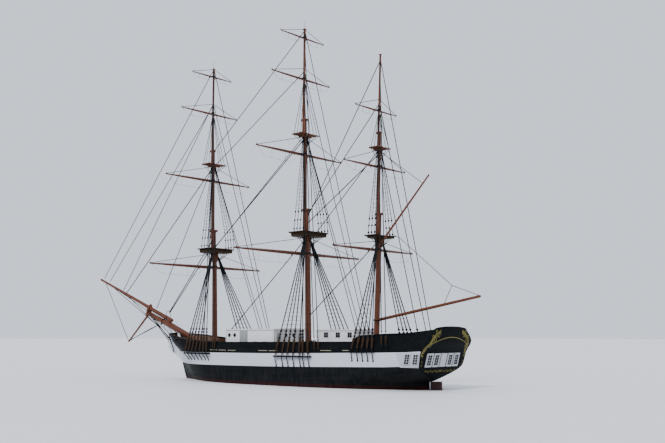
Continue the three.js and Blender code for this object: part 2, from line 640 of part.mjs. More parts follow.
// Spanker gaff and boom, from their collars on the mizzen lower mast
function buildSpankerSpar(jaw, end, innerRadius, outerRadius) {
  const { ring, x } = buildCollar('mizzen', 'lower', jaw);
  const body = spar([x - 70, 0, jaw], [end[0], 0, end[1]], innerRadius, outerRadius, 10);
  return join(ring, body.subtract(mastBore('mizzen', 'lower')));
}
add('spanker_gaff', buildSpankerSpar(GAFF.jaw, GAFF.peak, GAFF.innerRadius, GAFF.outerRadius), 'spar');
add('spanker_boom', buildSpankerSpar(BOOM.jaw, BOOM.end, BOOM.innerRadius, BOOM.outerRadius), 'spar');

// Bowsprit, jibboom, dolphin striker and bobstays

const slope = (low, high) => Math.atan2(high[1] - low[1], high[0] - low[0]);
const bowspritTilt = slope(BOWSPRIT.heel, BOWSPRIT.end);
const jibAxis = [[JIBBOOM.heel[0], 0, JIBBOOM.heel[1]], [JIBBOOM.tip[0], 0, JIBBOOM.tip[1]]];
const jib = spar(...jibAxis, JIBBOOM.heelRadius, JIBBOOM.tipRadius);
const jibBore = spar(...jibAxis, bored(JIBBOOM.heelRadius), bored(JIBBOOM.tipRadius), 16);

function buildBowsprit() {
  const cap = box(BOWSPRIT_CAP.size, [BOWSPRIT_CAP.at[0], 0, BOWSPRIT_CAP.at[1]], bowspritTilt);
  return stood(join(bowspritBody, cap).subtract(jibBore), 'main');
}
const bowsprit = add('bowsprit', buildBowsprit(), 'spar');

function buildJibboom() {
  const saddle = box([260, 110, 200], [JIBBOOM.heel[0] + 260, 0, JIBBOOM.heel[1] - 40], bowspritTilt);
  return join(jib, saddle.subtract(shifted(bowsprit, [0, 0, GAP])));
}
add('jibboom', buildJibboom(), 'spar');

const striker = spar([STRIKER.top[0], 0, STRIKER.top[1]], [STRIKER.tip[0], 0, STRIKER.tip[1]],
  STRIKER.topRadius, STRIKER.tipRadius, 8);
add('dolphin_striker', striker.subtract(shifted(bowsprit, [GAP, 0, -GAP])), 'spar');

function buildBobstays() {
  const [low, high] = [BOBSTAY.low, BOBSTAY.high];
  const bars = [-1, 1].map((sign) => spar([low[0], sign * BOBSTAY.spread, low[1]], [high[0], sign * BOBSTAY.spread, high[1]],
    BOBSTAY.radius, BOBSTAY.radius, 8));
  const tie = box([60, 2 * BOBSTAY.spread, 50], [high[0] - 160, 0, high[1] - 130], bowspritTilt);
  return join(bars, tie).subtract(shifted(bowsprit, [0, 0, -GAP])).subtract(shifted(knee, [0, 0, GAP]))
    .subtract(shifted(knee, [0, GAP, 0])).subtract(shifted(knee, [0, -GAP, 0]));
}
add('bobstays', buildBobstays(), 'iron');

// Main stays. Each is a rod; the forestay has two legs that pass either side of the topmast.
function buildForestay() {
  const legs = forestayLegs(STAY);
  const heart = spar([18460, 0, 3802], [18575, 0, 3682], 60, 60, 8);
  return join(legs, heart, rod([18530, 0, 3730], [18640, 0, 3480], 24));
}
const spread = (piece, cutters) => cutters.reduce((left, [cutter, offset]) => left.subtract(shifted(cutter, offset)), piece);
add('forestay', spread(buildForestay(), [[jib, [0, 0, GAP]], [masts.fore.lower, [GAP, 0, 0]],
  [masts.fore.lower, [0, GAP, 0]], [masts.fore.lower, [0, -GAP, 0]]]), 'rope');

// Single stays: name, upper end, lower end, what each end stands on
const STAYS = [
  ['mainstay', [7480, 7500], [13153, 2745], masts.main.lower, null],
  ['mizzen_stay', [2830, 6990], [7500, 3300], masts.mizzen.lower, masts.main.lower],
  ['fore_topmast_stay', [14870, 12020], [22759, 5000], masts.fore.top, jib],
  ['main_topmast_stay', [7700, 12690], [14620, 7360], masts.main.top, masts.fore.lower],
  ['mizzen_topmast_stay', [2790, 11200], [7600, 8100], masts.mizzen.top, masts.main.lower],
];
for (const [name, high, low, upper, lower] of STAYS) {
  const cuts = [[upper, [GAP, 0, 0]]];
  if (lower) cuts.push([lower, lower === jib ? [0, 0, GAP] : [-GAP, 0, 0]]);
  add(name, spread(rod([high[0], 0, high[1]], [low[0], 0, low[1]]), cuts), 'rope');
}

// Channels with bars, deadeyes and chain plates, on both sides. All that stands on a channel
// leans inboard, towards the masthead that its shroud leads to.

function deckSide(x) {
  const { stern, bow } = LEVELS[DECK_LEVEL];
  return side(DECK_LEVEL, (x - stern) / (bow - stern))[1];
}

function bar(start, end, wide, thick) {
  const [from, to] = [new THREE.Vector3(...start), new THREE.Vector3(...end)];
  const along = to.clone().sub(from);
  const geometry = new THREE.BoxGeometry(wide, thick, along.length());
  geometry.applyQuaternion(new THREE.Quaternion().setFromUnitVectors(new THREE.Vector3(0, 0, 1), along.normalize()));
  geometry.translate(...from.add(to).divideScalar(2).toArray());
  return solid(geometry);
}

function buildChannel({ mast, z, out, eye, lower, back }) {
  const m = MASTS[mast];
  const edge = (x) => deckSide(x) + out;
  const rows = [...lower, ...back];
  const [first, last] = [rows[0] + CHANNEL.margin, rows[rows.length - 1] - CHANNEL.margin];
  const xs = [first, ...rows, last];
  const outline = [...xs.map((x) => [x, edge(x)]), ...xs.toReversed().map((x) => [x, deckSide(x) - 35])];
  const pieces = [slab(outline.reverse(), CHANNEL.thick, z - CHANNEL.thick / 2)];
  for (const x of rows) {
    const head = lower.includes(x) ? [m.cap[0], 120, m.top - 100] : [m.topHead[0], 80, m.cross];
    const foot = [x, edge(x) - 30, z];
    const at = (level) => foot.map((value, k) => value + (head[k] - value) * (level - z) / (head[2] - z));
    const { wide, thick, foot: low, neck } = SHROUD_BAR;
    pieces.push(rod(foot, at(eye + DEADEYE.rise * (DEADEYE.count - 1)), 16));
    pieces.push(bar(at(z + low), at(eye - neck), wide, thick));
    for (let n = 0; n < DEADEYE.count; n += 1) {
      const [ex, ey, ez] = at(eye + DEADEYE.rise * n);
      const half = DEADEYE.thick / 2;
      pieces.push(spar([ex, ey - half, ez], [ex, ey + half, ez], DEADEYE.radius, DEADEYE.radius, 8));
    }
    pieces.push(rod(foot, [x, edge(x) - out + 10, z - CHANNEL.drop], 14));
  }
  return join(pieces).subtract(shifted(hull, [0, GAP, 0])).subtract(shifted(bulwark, [0, GAP, 0]));
}
for (const row of CHANNELS) {
  const channel = buildChannel(row);
  add(`port_${row.mast}_channel`, channel, 'iron');
  add(`starboard_${row.mast}_channel`, reflected(channel), 'iron');
}

export default model;
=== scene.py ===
"""Looks of a full-rigged tall ship: planked hull, spars, rigging and deck fittings, set on its CAD solids."""

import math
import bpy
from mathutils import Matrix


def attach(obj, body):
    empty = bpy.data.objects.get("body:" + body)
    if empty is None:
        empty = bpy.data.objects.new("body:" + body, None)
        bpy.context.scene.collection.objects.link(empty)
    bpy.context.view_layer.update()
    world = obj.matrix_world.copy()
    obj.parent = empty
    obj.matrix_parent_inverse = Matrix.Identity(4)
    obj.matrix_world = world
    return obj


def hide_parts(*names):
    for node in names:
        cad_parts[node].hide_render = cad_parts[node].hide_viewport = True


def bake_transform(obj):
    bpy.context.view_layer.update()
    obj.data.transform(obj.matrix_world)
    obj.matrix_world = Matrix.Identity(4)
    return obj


bl_info = {
    "name": "Tall Ship",
    "version": (1, 0, 0),
    "blender": (4, 5, 0),
    "location": "3D View > Sidebar > Tall Ship",
    "description": "Builds the planked hull, spars, rigging and fittings of a full-rigged ship",
    "category": "Add Mesh",
}

import bmesh
import bpy
from mathutils import Euler, Vector

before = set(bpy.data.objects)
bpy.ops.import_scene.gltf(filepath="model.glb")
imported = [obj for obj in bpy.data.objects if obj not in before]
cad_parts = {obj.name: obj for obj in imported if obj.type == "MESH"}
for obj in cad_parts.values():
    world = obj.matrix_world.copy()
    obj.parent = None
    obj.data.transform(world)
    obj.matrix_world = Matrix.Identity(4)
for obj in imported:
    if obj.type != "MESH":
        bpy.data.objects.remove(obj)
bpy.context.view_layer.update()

# Hull lines, in metres: +X to the bow, +Y to port, +Z up, z 0 at the waterline
HALF_BEAM = 2.25
WALL = 0.07                      # thickness of the bulwarks
SHEER = [                        # x, lower edge of the white band, deck edge, rail
    (-1.25, 1.100, 1.775, 2.705), (0, 1.080, 1.705, 2.550), (1.3, 1.030, 1.672, 2.517),
    (2.875, 1.001, 1.641, 2.425), (3.1, 0.999, 1.639, 2.160), (5.9, 0.950, 1.592, 2.130),
    (8.475, 0.922, 1.557, 2.117), (12.1, 0.907, 1.540, 2.097), (13.5, 0.903, 1.540, 2.150),
    (14.9, 0.900, 1.542, 2.262), (16.4, 0.900, 1.546, 2.425), (17.9, 0.900, 1.550, 2.610),
]
BAND_LOW, BAND_HIGH, RAIL = 1, 2, 3
KNOTS = (0, 0.04, 0.1, 0.2, 0.35, 0.5, 0.65, 0.78, 0.87, 0.94, 0.98, 1)
LEVELS = [                       # height or sheer line, x at the stern, x at the stem, half-breadths
    (-1.75, 0.12, 15.5, (0.027,) * 12),
    (-1.56, 0.12, 15.9, (0.027, 0.03, 0.05, 0.13, 0.34, 0.46, 0.41, 0.22, 0.09, 0.04, 0.03, 0.027)),
    (-1.05, 0.12, 16.33, (0.027, 0.06, 0.15, 0.42, 0.78, 0.88, 0.82, 0.54, 0.26, 0.09, 0.045, 0.027)),
    (-0.45, 0.12, 16.58, (0.027, 0.12, 0.33, 0.66, 0.92, 0.98, 0.94, 0.7, 0.41, 0.18, 0.08, 0.027)),
    (0.0, 0.12, 16.68, (0.027, 0.24, 0.5, 0.78, 0.96, 1, 0.97, 0.77, 0.49, 0.23, 0.1, 0.027)),
    (0.335, 0.12, 16.82, (0.027, 0.42, 0.64, 0.84, 0.965, 1, 0.98, 0.83, 0.59, 0.28, 0.12, 0.027)),
    (0.4, -0.18, 16.85, (0.027, 0.46, 0.67, 0.85, 0.965, 1, 0.98, 0.84, 0.6, 0.29, 0.13, 0.028)),
    ("low", -0.62, 17.06, (0.77, 0.775, 0.785, 0.845, 0.95, 0.99, 0.985, 0.915, 0.7, 0.35, 0.16, 0.03)),
    ("deck", -0.81, 17.27, (0.81, 0.8, 0.79, 0.825, 0.925, 0.975, 0.975, 0.925, 0.82, 0.46, 0.185, 0.035)),
    ("middle", -1.12, 17.48, (0.77, 0.75, 0.725, 0.77, 0.895, 0.95, 0.955, 0.9, 0.81, 0.585, 0.315, 0.045)),
    ("rail", -1.2, 17.72, (0.545, 0.665, 0.69, 0.71, 0.845, 0.89, 0.9, 0.84, 0.735, 0.62, 0.4, 0.055)),
]
STRAKE = (0, 2, 6, 10, 13, 15.5, 16, 21, 26, 29.5, 33)    # plank number at each level
BAND_LEVEL, DECK_LEVEL, RAIL_LEVEL = 7, 8, 10
BOOT_LEVEL = 5                   # the skin is searched from here up
PER_LEVEL = (2, 3, 3, 3, 3, 1, 5, 5, 4, 4)    # rows of points between two levels
CAMBER = 0.06                    # how far the stern bulges aft at its middle
STERN_FOOT, STERN_TOP = 0.41, 2.699    # heights between which the stern bulges
DECK_RISE = {"main": 0.04, "poop": 0.35}      # middle of a deck above its edge

FREEING_PORTS = (                # x from, x to and height
    (12.48, 11.902, 1.678), (11.77, 11.189, 1.674), (11.037, 10.452, 1.671), (8.797, 8.178, 1.686),
    (8.074, 7.469, 1.686), (4.828, 4.204, 1.73), (3.57, 2.83, 1.745),
)

# Masts: ends of each spar are points (x, z) of its axis
MAST_ROWS = {                    # deck, foot, cap, radii of the lower mast, height, half-breadth and scale of the top,
    # topmast and its radius, height of the crosstrees, topgallant mast and its radius, truck
    "fore": ("main", (14.488, 1.56), (14.666, 8.316), (0.156, 0.12), 7.267, 0.92, 0.97,
             ((14.812, 7.13), (14.868, 12.953)), 0.104, 12.121, ((14.978, 12.06), (14.957, 17.82)), 0.072,
             (14.957, 18.285)),
    "main": ("main", (7.42, 1.56), (7.545, 8.884), (0.168, 0.128), 7.683, 0.95, 1.0,
             ((7.7, 7.54), (7.708, 13.661)), 0.11, 12.829, ((7.824, 12.77), (7.765, 18.585)), 0.076, (7.762, 19.02)),
    "mizzen": ("poop", (3.055, 1.95), (2.79, 8.247), (0.142, 0.108), 7.195, 0.72, 0.76,
               ((2.946, 7.08), (2.762, 12.239)), 0.088, 11.465, ((2.876, 11.41), (2.69, 16.14)), 0.06, (2.69, 16.141)),
}
MAST_COLUMNS = ("deck", "foot", "cap", "lower", "top", "half", "size", "topmast", "top_radius", "cross", "gallant",
                "gallant_radius", "truck")
MASTS = {mast: dict(zip(MAST_COLUMNS, row)) for mast, row in MAST_ROWS.items()}
YARDS = [                        # name, mast, spar, x, z, half length, half thickness
    ("fore_course_yard", "fore", "lower", 15.178, 6.258, 4.1, 0.064),
    ("fore_topsail_yard", "fore", "topmast", 15.18, 11.235, 3.16, 0.054),
    ("fore_topgallant_yard", "fore", "gallant", 15.235, 15.195, 2.118, 0.042),
    ("fore_royal_yard", "fore", "gallant", 15.085, 17.365, 1.495, 0.032),
    ("main_course_yard", "main", "lower", 7.932, 6.605, 4.67, 0.067),
    ("main_topsail_yard", "main", "topmast", 7.998, 11.84, 3.278, 0.056),
    ("main_topgallant_yard", "main", "gallant", 7.975, 15.902, 2.248, 0.044),
    ("main_royal_yard", "main", "gallant", 7.91, 18.138, 1.68, 0.034),
    ("crossjack_yard", "mizzen", "lower", 3.122, 6.518, 3.1, 0.052),
    ("mizzen_topsail_yard", "mizzen", "topmast", 3.03, 10.582, 2.398, 0.042),
    ("mizzen_topgallant_yard", "mizzen", "gallant", 2.965, 13.368, 1.628, 0.032),
]
TOPS = {                         # port half of each outline, from the mast's axis
    "fore": ((-0.67, 0.92), (0.42, 0.92), (0.555, 0.755), (0.666, 0.506), (0.72, 0.23)),
    "main": ((-0.66, 0.95), (0.44, 0.95), (0.575, 0.78), (0.686, 0.522), (0.74, 0.238)),
    "mizzen": ((-0.275, 0.29), (-0.53, 0.56), (-0.53, 0.72), (0.35, 0.72), (0.444, 0.59), (0.522, 0.396),
               (0.56, 0.18)),
}
# Deadeyes at a top: first x, last x and count; crosstrees: reach aft, forward and to the side
TOP_EYES = {"fore": (14.694, 14.03, 4), "main": (7.574, 6.952, 4), "mizzen": (2.93, 2.56, 3)}
CROSSTREES = {"fore": (0.42, 0.29, 0.64), "main": (0.41, 0.32, 0.68), "mizzen": (0.32, 0.28, 0.5)}
HOUNDS = {"fore": 14.92, "main": 15.6, "mizzen": 13.14}      # heads of the topgallant shrouds
CHAIN_DROP = {"fore": 0.34, "main": 0.46, "mizzen": 0.46}    # of the chain plates under their channel
BACKSTAYS = {                    # x and height at the hull's side, then height at the mast
    "fore": ((12.2, 1.67, 15.72), (12.04, 1.67, 17.79)),
    "main": ((5.13, 1.66, 16.27), (4.89, 1.66, 18.5)),
    "mizzen": ((1.305, 1.92, 13.66), (1.05, 1.93, 15.85)),
}
MAIN_STAYS = {                   # ends of each stay in the middle plane, or of the port leg
    "forestay": ((14.69, 0.12, 7.776), (18.5, 0.03, 3.759)),
    "mainstay": ((7.52, 7.46), (13.153, 2.745)),
    "mizzen_stay": ((2.86, 6.96), (7.45, 3.34)),
    "fore_topmast_stay": ((14.9, 11.99), (22.72, 5.03)),
    "main_topmast_stay": ((7.73, 12.66), (14.6, 7.38)),
    "mizzen_topmast_stay": ((2.82, 11.18), (7.57, 8.12)),
}
LIGHT_STAYS = (                  # from and to, in the middle plane
    ((14.957, 17.79), (25.112, 6.03)), ((14.98, 15.62), (24.509, 5.80)), ((14.967, 15.72), (23.051, 5.21)),
    ((14.87, 12.16), (19.721, 4.02)), ((7.765, 18.50), (14.86, 12.90)), ((7.79, 16.27), (14.87, 11.96)),
    ((7.71, 12.86), (14.66, 7.30)), ((2.69, 15.85), (7.72, 8.15)), ((2.79, 13.66), (7.54, 8.58)),
    ((2.76, 11.46), (7.56, 7.02)),
)
HEAD_STAYS = (                   # under the jibboom, in the middle plane
    ((24.96, 5.74), (22.38, 2.05)), ((22.36, 2.06), (21.622, 2.343), (19.792, 2.986)), ((22.37, 2.1), (19.50, 3.02)),
    ((24.145, 5.42), (19.481, 2.92)), ((22.703, 4.90), (19.947, 3.18)),
)
HEAD_GUYS = (                    # port side of the bowsprit and the jibboom
    ((20.25, 0.14, 3.62), (17.2, 0.62, 1.95)), ((24.2, 0.05, 5.5), (20.45, 0.15, 3.9), (16.4, 1.0, 1.98)),
)
HEARTS = ((18.95, 3.36), (19.27, 3.10), (18.95, 2.96), (13.10, 2.80), (14.60, 7.36), (14.84, 12.0))
STAY_COLLARS = ((19.0, 0.04, 0.165, 3.22, 0.17), (18.62, 0.04, 0.12, 3.56, 0.3))     # centre and reach, x, y and z
BOWSPRIT = ((15.0, 1.776), (20.46, 3.738))
JIBBOOM = ((18.252, 3.28), (25.5, 5.975))
GAFF = ((2.85, 6.69), (-0.11, 9.823))
BOOM = ((3.0, 3.15), (-2.732, 4.14))
YARD_STOUT = 1.26                # radius of a yard over its half thickness in YARDS
SKYLIGHT_X, BINNACLE_X = 1.9, 0.42
SIDE_DOOR = (10.985, 2.19)       # x and height of the forward deckhouse's side doors
# x from and to, half width and height of the roof
HOUSES = {"forward_deckhouse": (8.76, 12.34, 1.125, 2.76), "aft_deckhouse": (3.79, 6.22, 0.7, 2.715)}
CHANNELS = {                     # z and width of the board, lowest deadeye, x of shrouds, x of topmast backstays
    "fore": (1.49, 0.23, 2.455, (14.49, 14.17, 13.83, 13.485, 13.14), (12.813, 12.541)),
    "main": (1.43, 0.19, 2.33, (7.507, 7.076, 6.729, 6.357, 5.952), (5.734, 5.412)),
    "mizzen": (1.745, 0.14, 2.4, (2.978, 2.664, 2.386, 2.1), (1.814,)),
}
EYE_RISE = 0.155                 # between two deadeyes of a shroud
UP, OUT = (0, 0, 1), (0, 1, 0)
SIDES = (("port", 1), ("starboard", -1))
CORNERS = ((1, -1), (-1, -1), (-1, 1), (1, 1))


def flipped(point, sign):
    """A point of the port side, or its mirror image."""
    return Vector((point[0], sign * point[1], point[2]))


def mid(x, z):
    """A point in the middle plane."""
    return Vector((x, 0, z))


def sheer(x, line):
    """Height of a sheer line at an x."""
    k = next((i for i, row in enumerate(SHEER) if row[0] >= x), len(SHEER) - 1)
    low, high = SHEER[max(1, k) - 1], SHEER[max(1, k)]
    return low[line] + (high[line] - low[line]) * (x - low[0]) / (high[0] - low[0])


def smooth(values, t):
    """Cubic Hermite interpolation of a row of half-breadths at t."""
    last = len(KNOTS) - 1
    k = min(last, max(1, next((i for i, knot in enumerate(KNOTS) if knot >= t), last)))

    def slope(i):
        low, high = max(0, i - 1), min(last, i + 1)
        return (values[high] - values[low]) / (KNOTS[high] - KNOTS[low])

    span = KNOTS[k] - KNOTS[k - 1]
    s = (t - KNOTS[k - 1]) / span
    curve = values[k - 1] * (1 - s) ** 2 * (1 + 2 * s) + values[k] * s ** 2 * (3 - 2 * s)
    return curve + span * s * (1 - s) * (slope(k - 1) * (1 - s) - slope(k) * s)


def height(line, x):
    if line == "low":
        return sheer(x, BAND_LOW)
    if line == "deck":
        return sheer(x, BAND_HIGH)
    if line == "middle":
        return 0.53 * sheer(x, BAND_HIGH) + 0.47 * sheer(x, RAIL)
    return sheer(x, RAIL) if line == "rail" else line


def side(level, t):
    """Point of the port side at a level and a station."""
    line, stern, bow, half = LEVELS[level]
    x = stern + (bow - stern) * t
    return Vector((x, HALF_BEAM * smooth(half, t), height(line, x)))


def inboard(level, t, distance, rise=0.0):
    """The same point, moved inboard along the plan normal."""
    along = side(level, min(1, t + 0.01)) - side(level, max(0.005, t - 0.01))
    run = math.hypot(along.x, along.y)
    return side(level, t) + Vector((distance * along.y / run, -distance * along.x / run, rise))


def station(level, x):
    """Station at which a level passes an x."""
    stern, bow = LEVELS[level][1:3]
    return min(1, max(0, (x - stern) / (bow - stern)))


def on_skin(t, z):
    """Point of the port side at a station and a height above the boot-top."""
    knots = [side(level, t) for level in range(len(LEVELS))]
    heights = [p.z for p in knots]
    k = max(BOOT_LEVEL, min(RAIL_LEVEL - 1, sum(1 for value in heights if value <= z) - 1))
    low, high = 0.0, 1.0
    for _ in range(18):
        s = (low + high) / 2
        low, high = (s, high) if eased(heights, k, s) < z else (low, s)
    return Vector((eased([p.x for p in knots], k, s), eased([p.y for p in knots], k, s), z))


def on_side(x, z, out=0.0):
    """Point of the port side at an x and a height."""
    t = station(DECK_LEVEL, x)
    for _ in range(5):
        t = min(1, max(0, t + (x - on_skin(t, z).x) / 18))
    return Vector((x, on_skin(t, z).y + out, z))


def stern_face(y, z, out=0.0):
    """Point of the stern at a half-breadth and a height."""
    edge = on_skin(0, min(z, STERN_TOP))
    return Vector((edge.x - CAMBER * max(0, 1 - (y / max(0.3, edge.y)) ** 2) - out, y, z))


def channel_edge(mast, x):
    """Half-breadth of a channel's outer edge."""
    return side(DECK_LEVEL, station(DECK_LEVEL, x)).y + CHANNELS[mast][1]


def shroud_line(mast, x):
    """Foot on the channel and head at the mast of the shroud or backstay at an x, on the port side."""
    m = MASTS[mast]
    lower = x in CHANNELS[mast][3]
    head = (m["cap"][0], 0.12, m["top"] - 0.1) if lower else (m["topmast"][1][0], 0.08, m["cross"])
    return Vector((x, channel_edge(mast, x) - 0.03, CHANNELS[mast][0])), Vector(head)


def on_line(line, z, sign=1):
    """Point of a line at a height, on the port side or mirrored."""
    foot, head = line
    return flipped(foot.lerp(head, (z - foot.z) / (head.z - foot.z)), sign)


def deck_top(x, deck="main"):
    return sheer(x, BAND_HIGH) + DECK_RISE[deck]


def spar_at(ends, z):
    """x of a leaning spar's axis at a height."""
    (x0, z0), (x1, z1) = ends
    return x0 + (x1 - x0) * (z - z0) / (z1 - z0)


def on_axis(ends, z):
    return mid(spar_at(ends, z), z)


def mast_ends(mast, which):
    """Ends of a mast's spar, and the radius at each."""
    m = MASTS[mast]
    if which == "lower":
        return (m["foot"], m["cap"]), m["lower"]
    if which == "topmast":
        return m["topmast"], (m["top_radius"], m["top_radius"] * 0.8)
    return m["gallant"], (m["gallant_radius"], m["gallant_radius"] * 0.82)


def mast_radius(mast, which, z):
    (low, high), (first, last) = mast_ends(mast, which)
    return first + (last - first) * (z - low[1]) / (high[1] - low[1])


def axis_of(ends):
    """Direction of a spar, from its ends."""
    return (mid(*ends[1]) - mid(*ends[0])).normalized()


# Sizes and colours that a user would change

def colour(name, text, value):
    return bpy.props.FloatVectorProperty(name=name, description=text, default=value, size=3,
                                         subtype="COLOR", min=0, max=1)


def length(name, text, value):
    return bpy.props.FloatProperty(name=name, description=text, default=value, min=0.0005,
                                   subtype="DISTANCE", unit="LENGTH")


class HullPaint(bpy.types.PropertyGroup):
    """Paint of the hull."""
    topside: colour("Topside black", "Paint of the bulwarks and of the hull below the band", (0.0042, 0.0052, 0.0058))
    band: colour("Band white", "Paint of the band at deck level", (0.56, 0.575, 0.63))
    boot: colour("Boot-top", "Paint just above the water", (0.020, 0.0045, 0.005))
    bottom: colour("Bottom", "Paint under water", (0.16, 0.028, 0.018))
    plank_run: length("Plank length", "Length of a hull plank", 3.2)
    boot_height: length("Boot-top height", "Height of the boot-top's edge above the water", 0.17)


class SparFinish(bpy.types.PropertyGroup):
    """Finish of masts, yards and other timber."""
    wood: colour("Spar colour", "Varnished wood of the spars", (0.115, 0.033, 0.013))
    grain: colour("Grain colour", "Dark streaks in the spars", (0.05, 0.016, 0.008))
    band_spacing: length("Band spacing", "Distance between the iron bands of the lower masts", 0.95)
    timber: colour("Dark timber", "Rails, bars and hatches", (0.031, 0.0165, 0.0075))


class RigSizes(bpy.types.PropertyGroup):
    """Sizes of the rigging."""
    shroud: length("Shroud radius", "Radius of the shrouds", 0.027)
    ratline: length("Ratline radius", "Radius of the ratlines", 0.0065)
    ratline_gap: length("Ratline spacing", "Height between two ratlines", 0.2)
    stay: length("Stay radius", "Radius of the stays", 0.024)
    running: length("Running rigging radius", "Radius of lifts and halyards", 0.0145)
    deadeye: length("Deadeye radius", "Radius of the lower deadeyes", 0.056)
    rope: colour("Rope colour", "Tarred rope", (0.012, 0.0125, 0.014))


class DeckFinish(bpy.types.PropertyGroup):
    """Finish of decks and houses."""
    plank: length("Deck plank width", "Width of a deck plank", 0.075)
    wood: colour("Deck colour", "Scrubbed deck planks", (0.36, 0.27, 0.17))
    house: colour("House paint", "Paint of the deckhouses", (0.80, 0.80, 0.81))
    gilt: colour("Gilding", "Scroll ornament of the stern", (0.19, 0.165, 0.04))


class StageLook(bpy.types.PropertyGroup):
    """Floor, light and camera."""
    floor: colour("Floor colour", "Pale floor at the waterline", (0.86, 0.865, 0.87))
    sky: bpy.props.FloatProperty(name="Sky light", description="Strength of the soft light", default=1.15, min=0)
    sun: bpy.props.FloatProperty(name="Key light", description="Strength of the key light", default=2.0, min=0)
    lens: bpy.props.FloatProperty(name="Lens", description="Focal length for a 36 mm sensor",
                                  default=48.68, min=1, subtype="DISTANCE_CAMERA")


class TallShip(bpy.types.PropertyGroup):
    """All settings of the ship."""
    hull: bpy.props.PointerProperty(type=HullPaint)
    spars: bpy.props.PointerProperty(type=SparFinish)
    rig: bpy.props.PointerProperty(type=RigSizes)
    deck: bpy.props.PointerProperty(type=DeckFinish)
    stage: bpy.props.PointerProperty(type=StageLook)


def settings():
    return bpy.context.scene.tall_ship


# Node helpers

def put(tree, kind, inputs=None, **values):
    """A node with its properties and inputs set; an input may be a value or another node's socket."""
    node = tree.nodes.new(kind)
    for key, value in values.items():
        setattr(node, key, value)
    for key, value in (inputs or {}).items():
        if isinstance(value, bpy.types.NodeSocket):
            tree.links.new(value, node.inputs[key])
        else:
            node.inputs[key].default_value = value
    return node


def sums(tree, operation, *values):
    """A Math node's result."""
    return put(tree, "ShaderNodeMath", dict(enumerate(values)), operation=operation).outputs[0]


def mixed(tree, factor, a, b):
    """A colour mix's result; colours are given as sockets or as rgb."""
    first, second = (c if isinstance(c, bpy.types.NodeSocket) else (*c[:3], 1) for c in (a, b))
    return put(tree, "ShaderNodeMix", {0: factor, 6: first, 7: second}, data_type="RGBA").outputs[2]


def spread(tree, value, low, high, first=0.0, last=1.0):
    """A value mapped smoothly from one range to another."""
    return put(tree, "ShaderNodeMapRange", {0: value, 1: low, 2: high, 3: first, 4: last},
               interpolation_type="SMOOTHSTEP").outputs[0]


def noise(tree, vector, scale, detail, **inputs):
    node = put(tree, "ShaderNodeTexNoise", {"Vector": vector, "Scale": scale, "Detail": detail, **inputs})
    return node.outputs["Fac"]


def new_group(name, kind, inputs, outputs):
    """An empty node group with named sockets, its input sockets, and its output node."""
    tree = bpy.data.node_groups.new(name, kind)
    for way, sockets in (("INPUT", inputs), ("OUTPUT", outputs)):
        for label, socket in sockets.items():
            tree.interface.new_socket(label, in_out=way, socket_type=socket)
    return tree, tree.nodes.new("NodeGroupInput").outputs, tree.nodes.new("NodeGroupOutput")


def give(tree, out, **values):
    """Links values to a group's outputs."""
    for key, value in values.items():
        tree.links.new(value, out.inputs[key])
    return tree


FLOAT, VECTOR, GEOMETRY = "NodeSocketFloat", "NodeSocketVector", "NodeSocketGeometry"


def plank_group():
    """Seams, butts and tone of planks: the first value runs along them in metres, the second counts them."""
    sockets = dict.fromkeys(("Along", "Across", "Run", "Seam"), FLOAT)
    tree, given, out = new_group("plank seams", "ShaderNodeTree", sockets, {"Seam": FLOAT, "Tone": FLOAT})
    along, across, run, seam = given[:4]

    def to_edge(value):
        within = sums(tree, "FRACT", value)
        return sums(tree, "MINIMUM", within, sums(tree, "SUBTRACT", 1.0, within))

    row = sums(tree, "FLOOR", across)
    shift = sums(tree, "MULTIPLY", sums(tree, "FRACT", sums(tree, "MULTIPLY", row, 0.618)), run)
    piece = sums(tree, "DIVIDE", sums(tree, "ADD", along, shift), run)
    long_seam = spread(tree, to_edge(across), 0.0, seam, 1, 0)
    end_seam = spread(tree, sums(tree, "MULTIPLY", to_edge(piece), run), 0.0, 0.006, 1, 0)
    where = put(tree, "ShaderNodeCombineXYZ", {0: row, 1: sums(tree, "FLOOR", piece)}).outputs[0]
    tone = put(tree, "ShaderNodeTexWhiteNoise", {0: where}, noise_dimensions="3D").outputs["Value"]
    return give(tree, out, Seam=sums(tree, "MAXIMUM", long_seam, end_seam), Tone=tone)


def grain_group():
    """Long wood grain, from a vector that is already squeezed along the wood."""
    tree, (at, *_), out = new_group("wood grain", "ShaderNodeTree", {"Vector": VECTOR},
                                    {"Grain": FLOAT, "Figure": FLOAT})
    return give(tree, out, Grain=spread(tree, noise(tree, at, 42.0, 6.0, Roughness=0.62), 0.32, 0.7),
                Figure=spread(tree, noise(tree, at, 7.0, 3.0, Distortion=0.6), 0.35, 0.65))


def weather_group():
    """Weather on paint: rain streaks down the side, and a fine mottle."""
    tree, (at, *_), out = new_group("weather", "ShaderNodeTree", {"Vector": VECTOR},
                                    dict.fromkeys(("Streaks", "Mottle", "Fine"), FLOAT))
    tall = put(tree, "ShaderNodeMapping", {"Vector": at, "Scale": (1.0, 1.0, 0.12)}).outputs[0]
    return give(tree, out, Streaks=spread(tree, noise(tree, tall, 9.0, 5.0, Roughness=0.6), 0.42, 0.72),
                Mottle=spread(tree, noise(tree, at, 1.7, 6.0, Roughness=0.65), 0.35, 0.65),
                Fine=noise(tree, at, 60.0, 3.0))


def lay_group():
    """Twisted strands of rope: slanting bands in object space."""
    tree, given, out = new_group("rope lay", "ShaderNodeTree", {"Vector": VECTOR, "Strands": FLOAT}, {"Lay": FLOAT})
    wave = put(tree, "ShaderNodeTexWave", {"Vector": given[0], "Scale": given[1], "Distortion": 0.4, "Detail": 1.0},
               bands_direction="DIAGONAL")
    return give(tree, out, Lay=wave.outputs["Fac"])


HULL_SHINE = 0.015               # specular level of the hull's paints
SHADERS = {"planks": plank_group, "grain": grain_group, "weather": weather_group, "lay": lay_group}
made_groups, made_materials, made_trees = {}, {}, {}


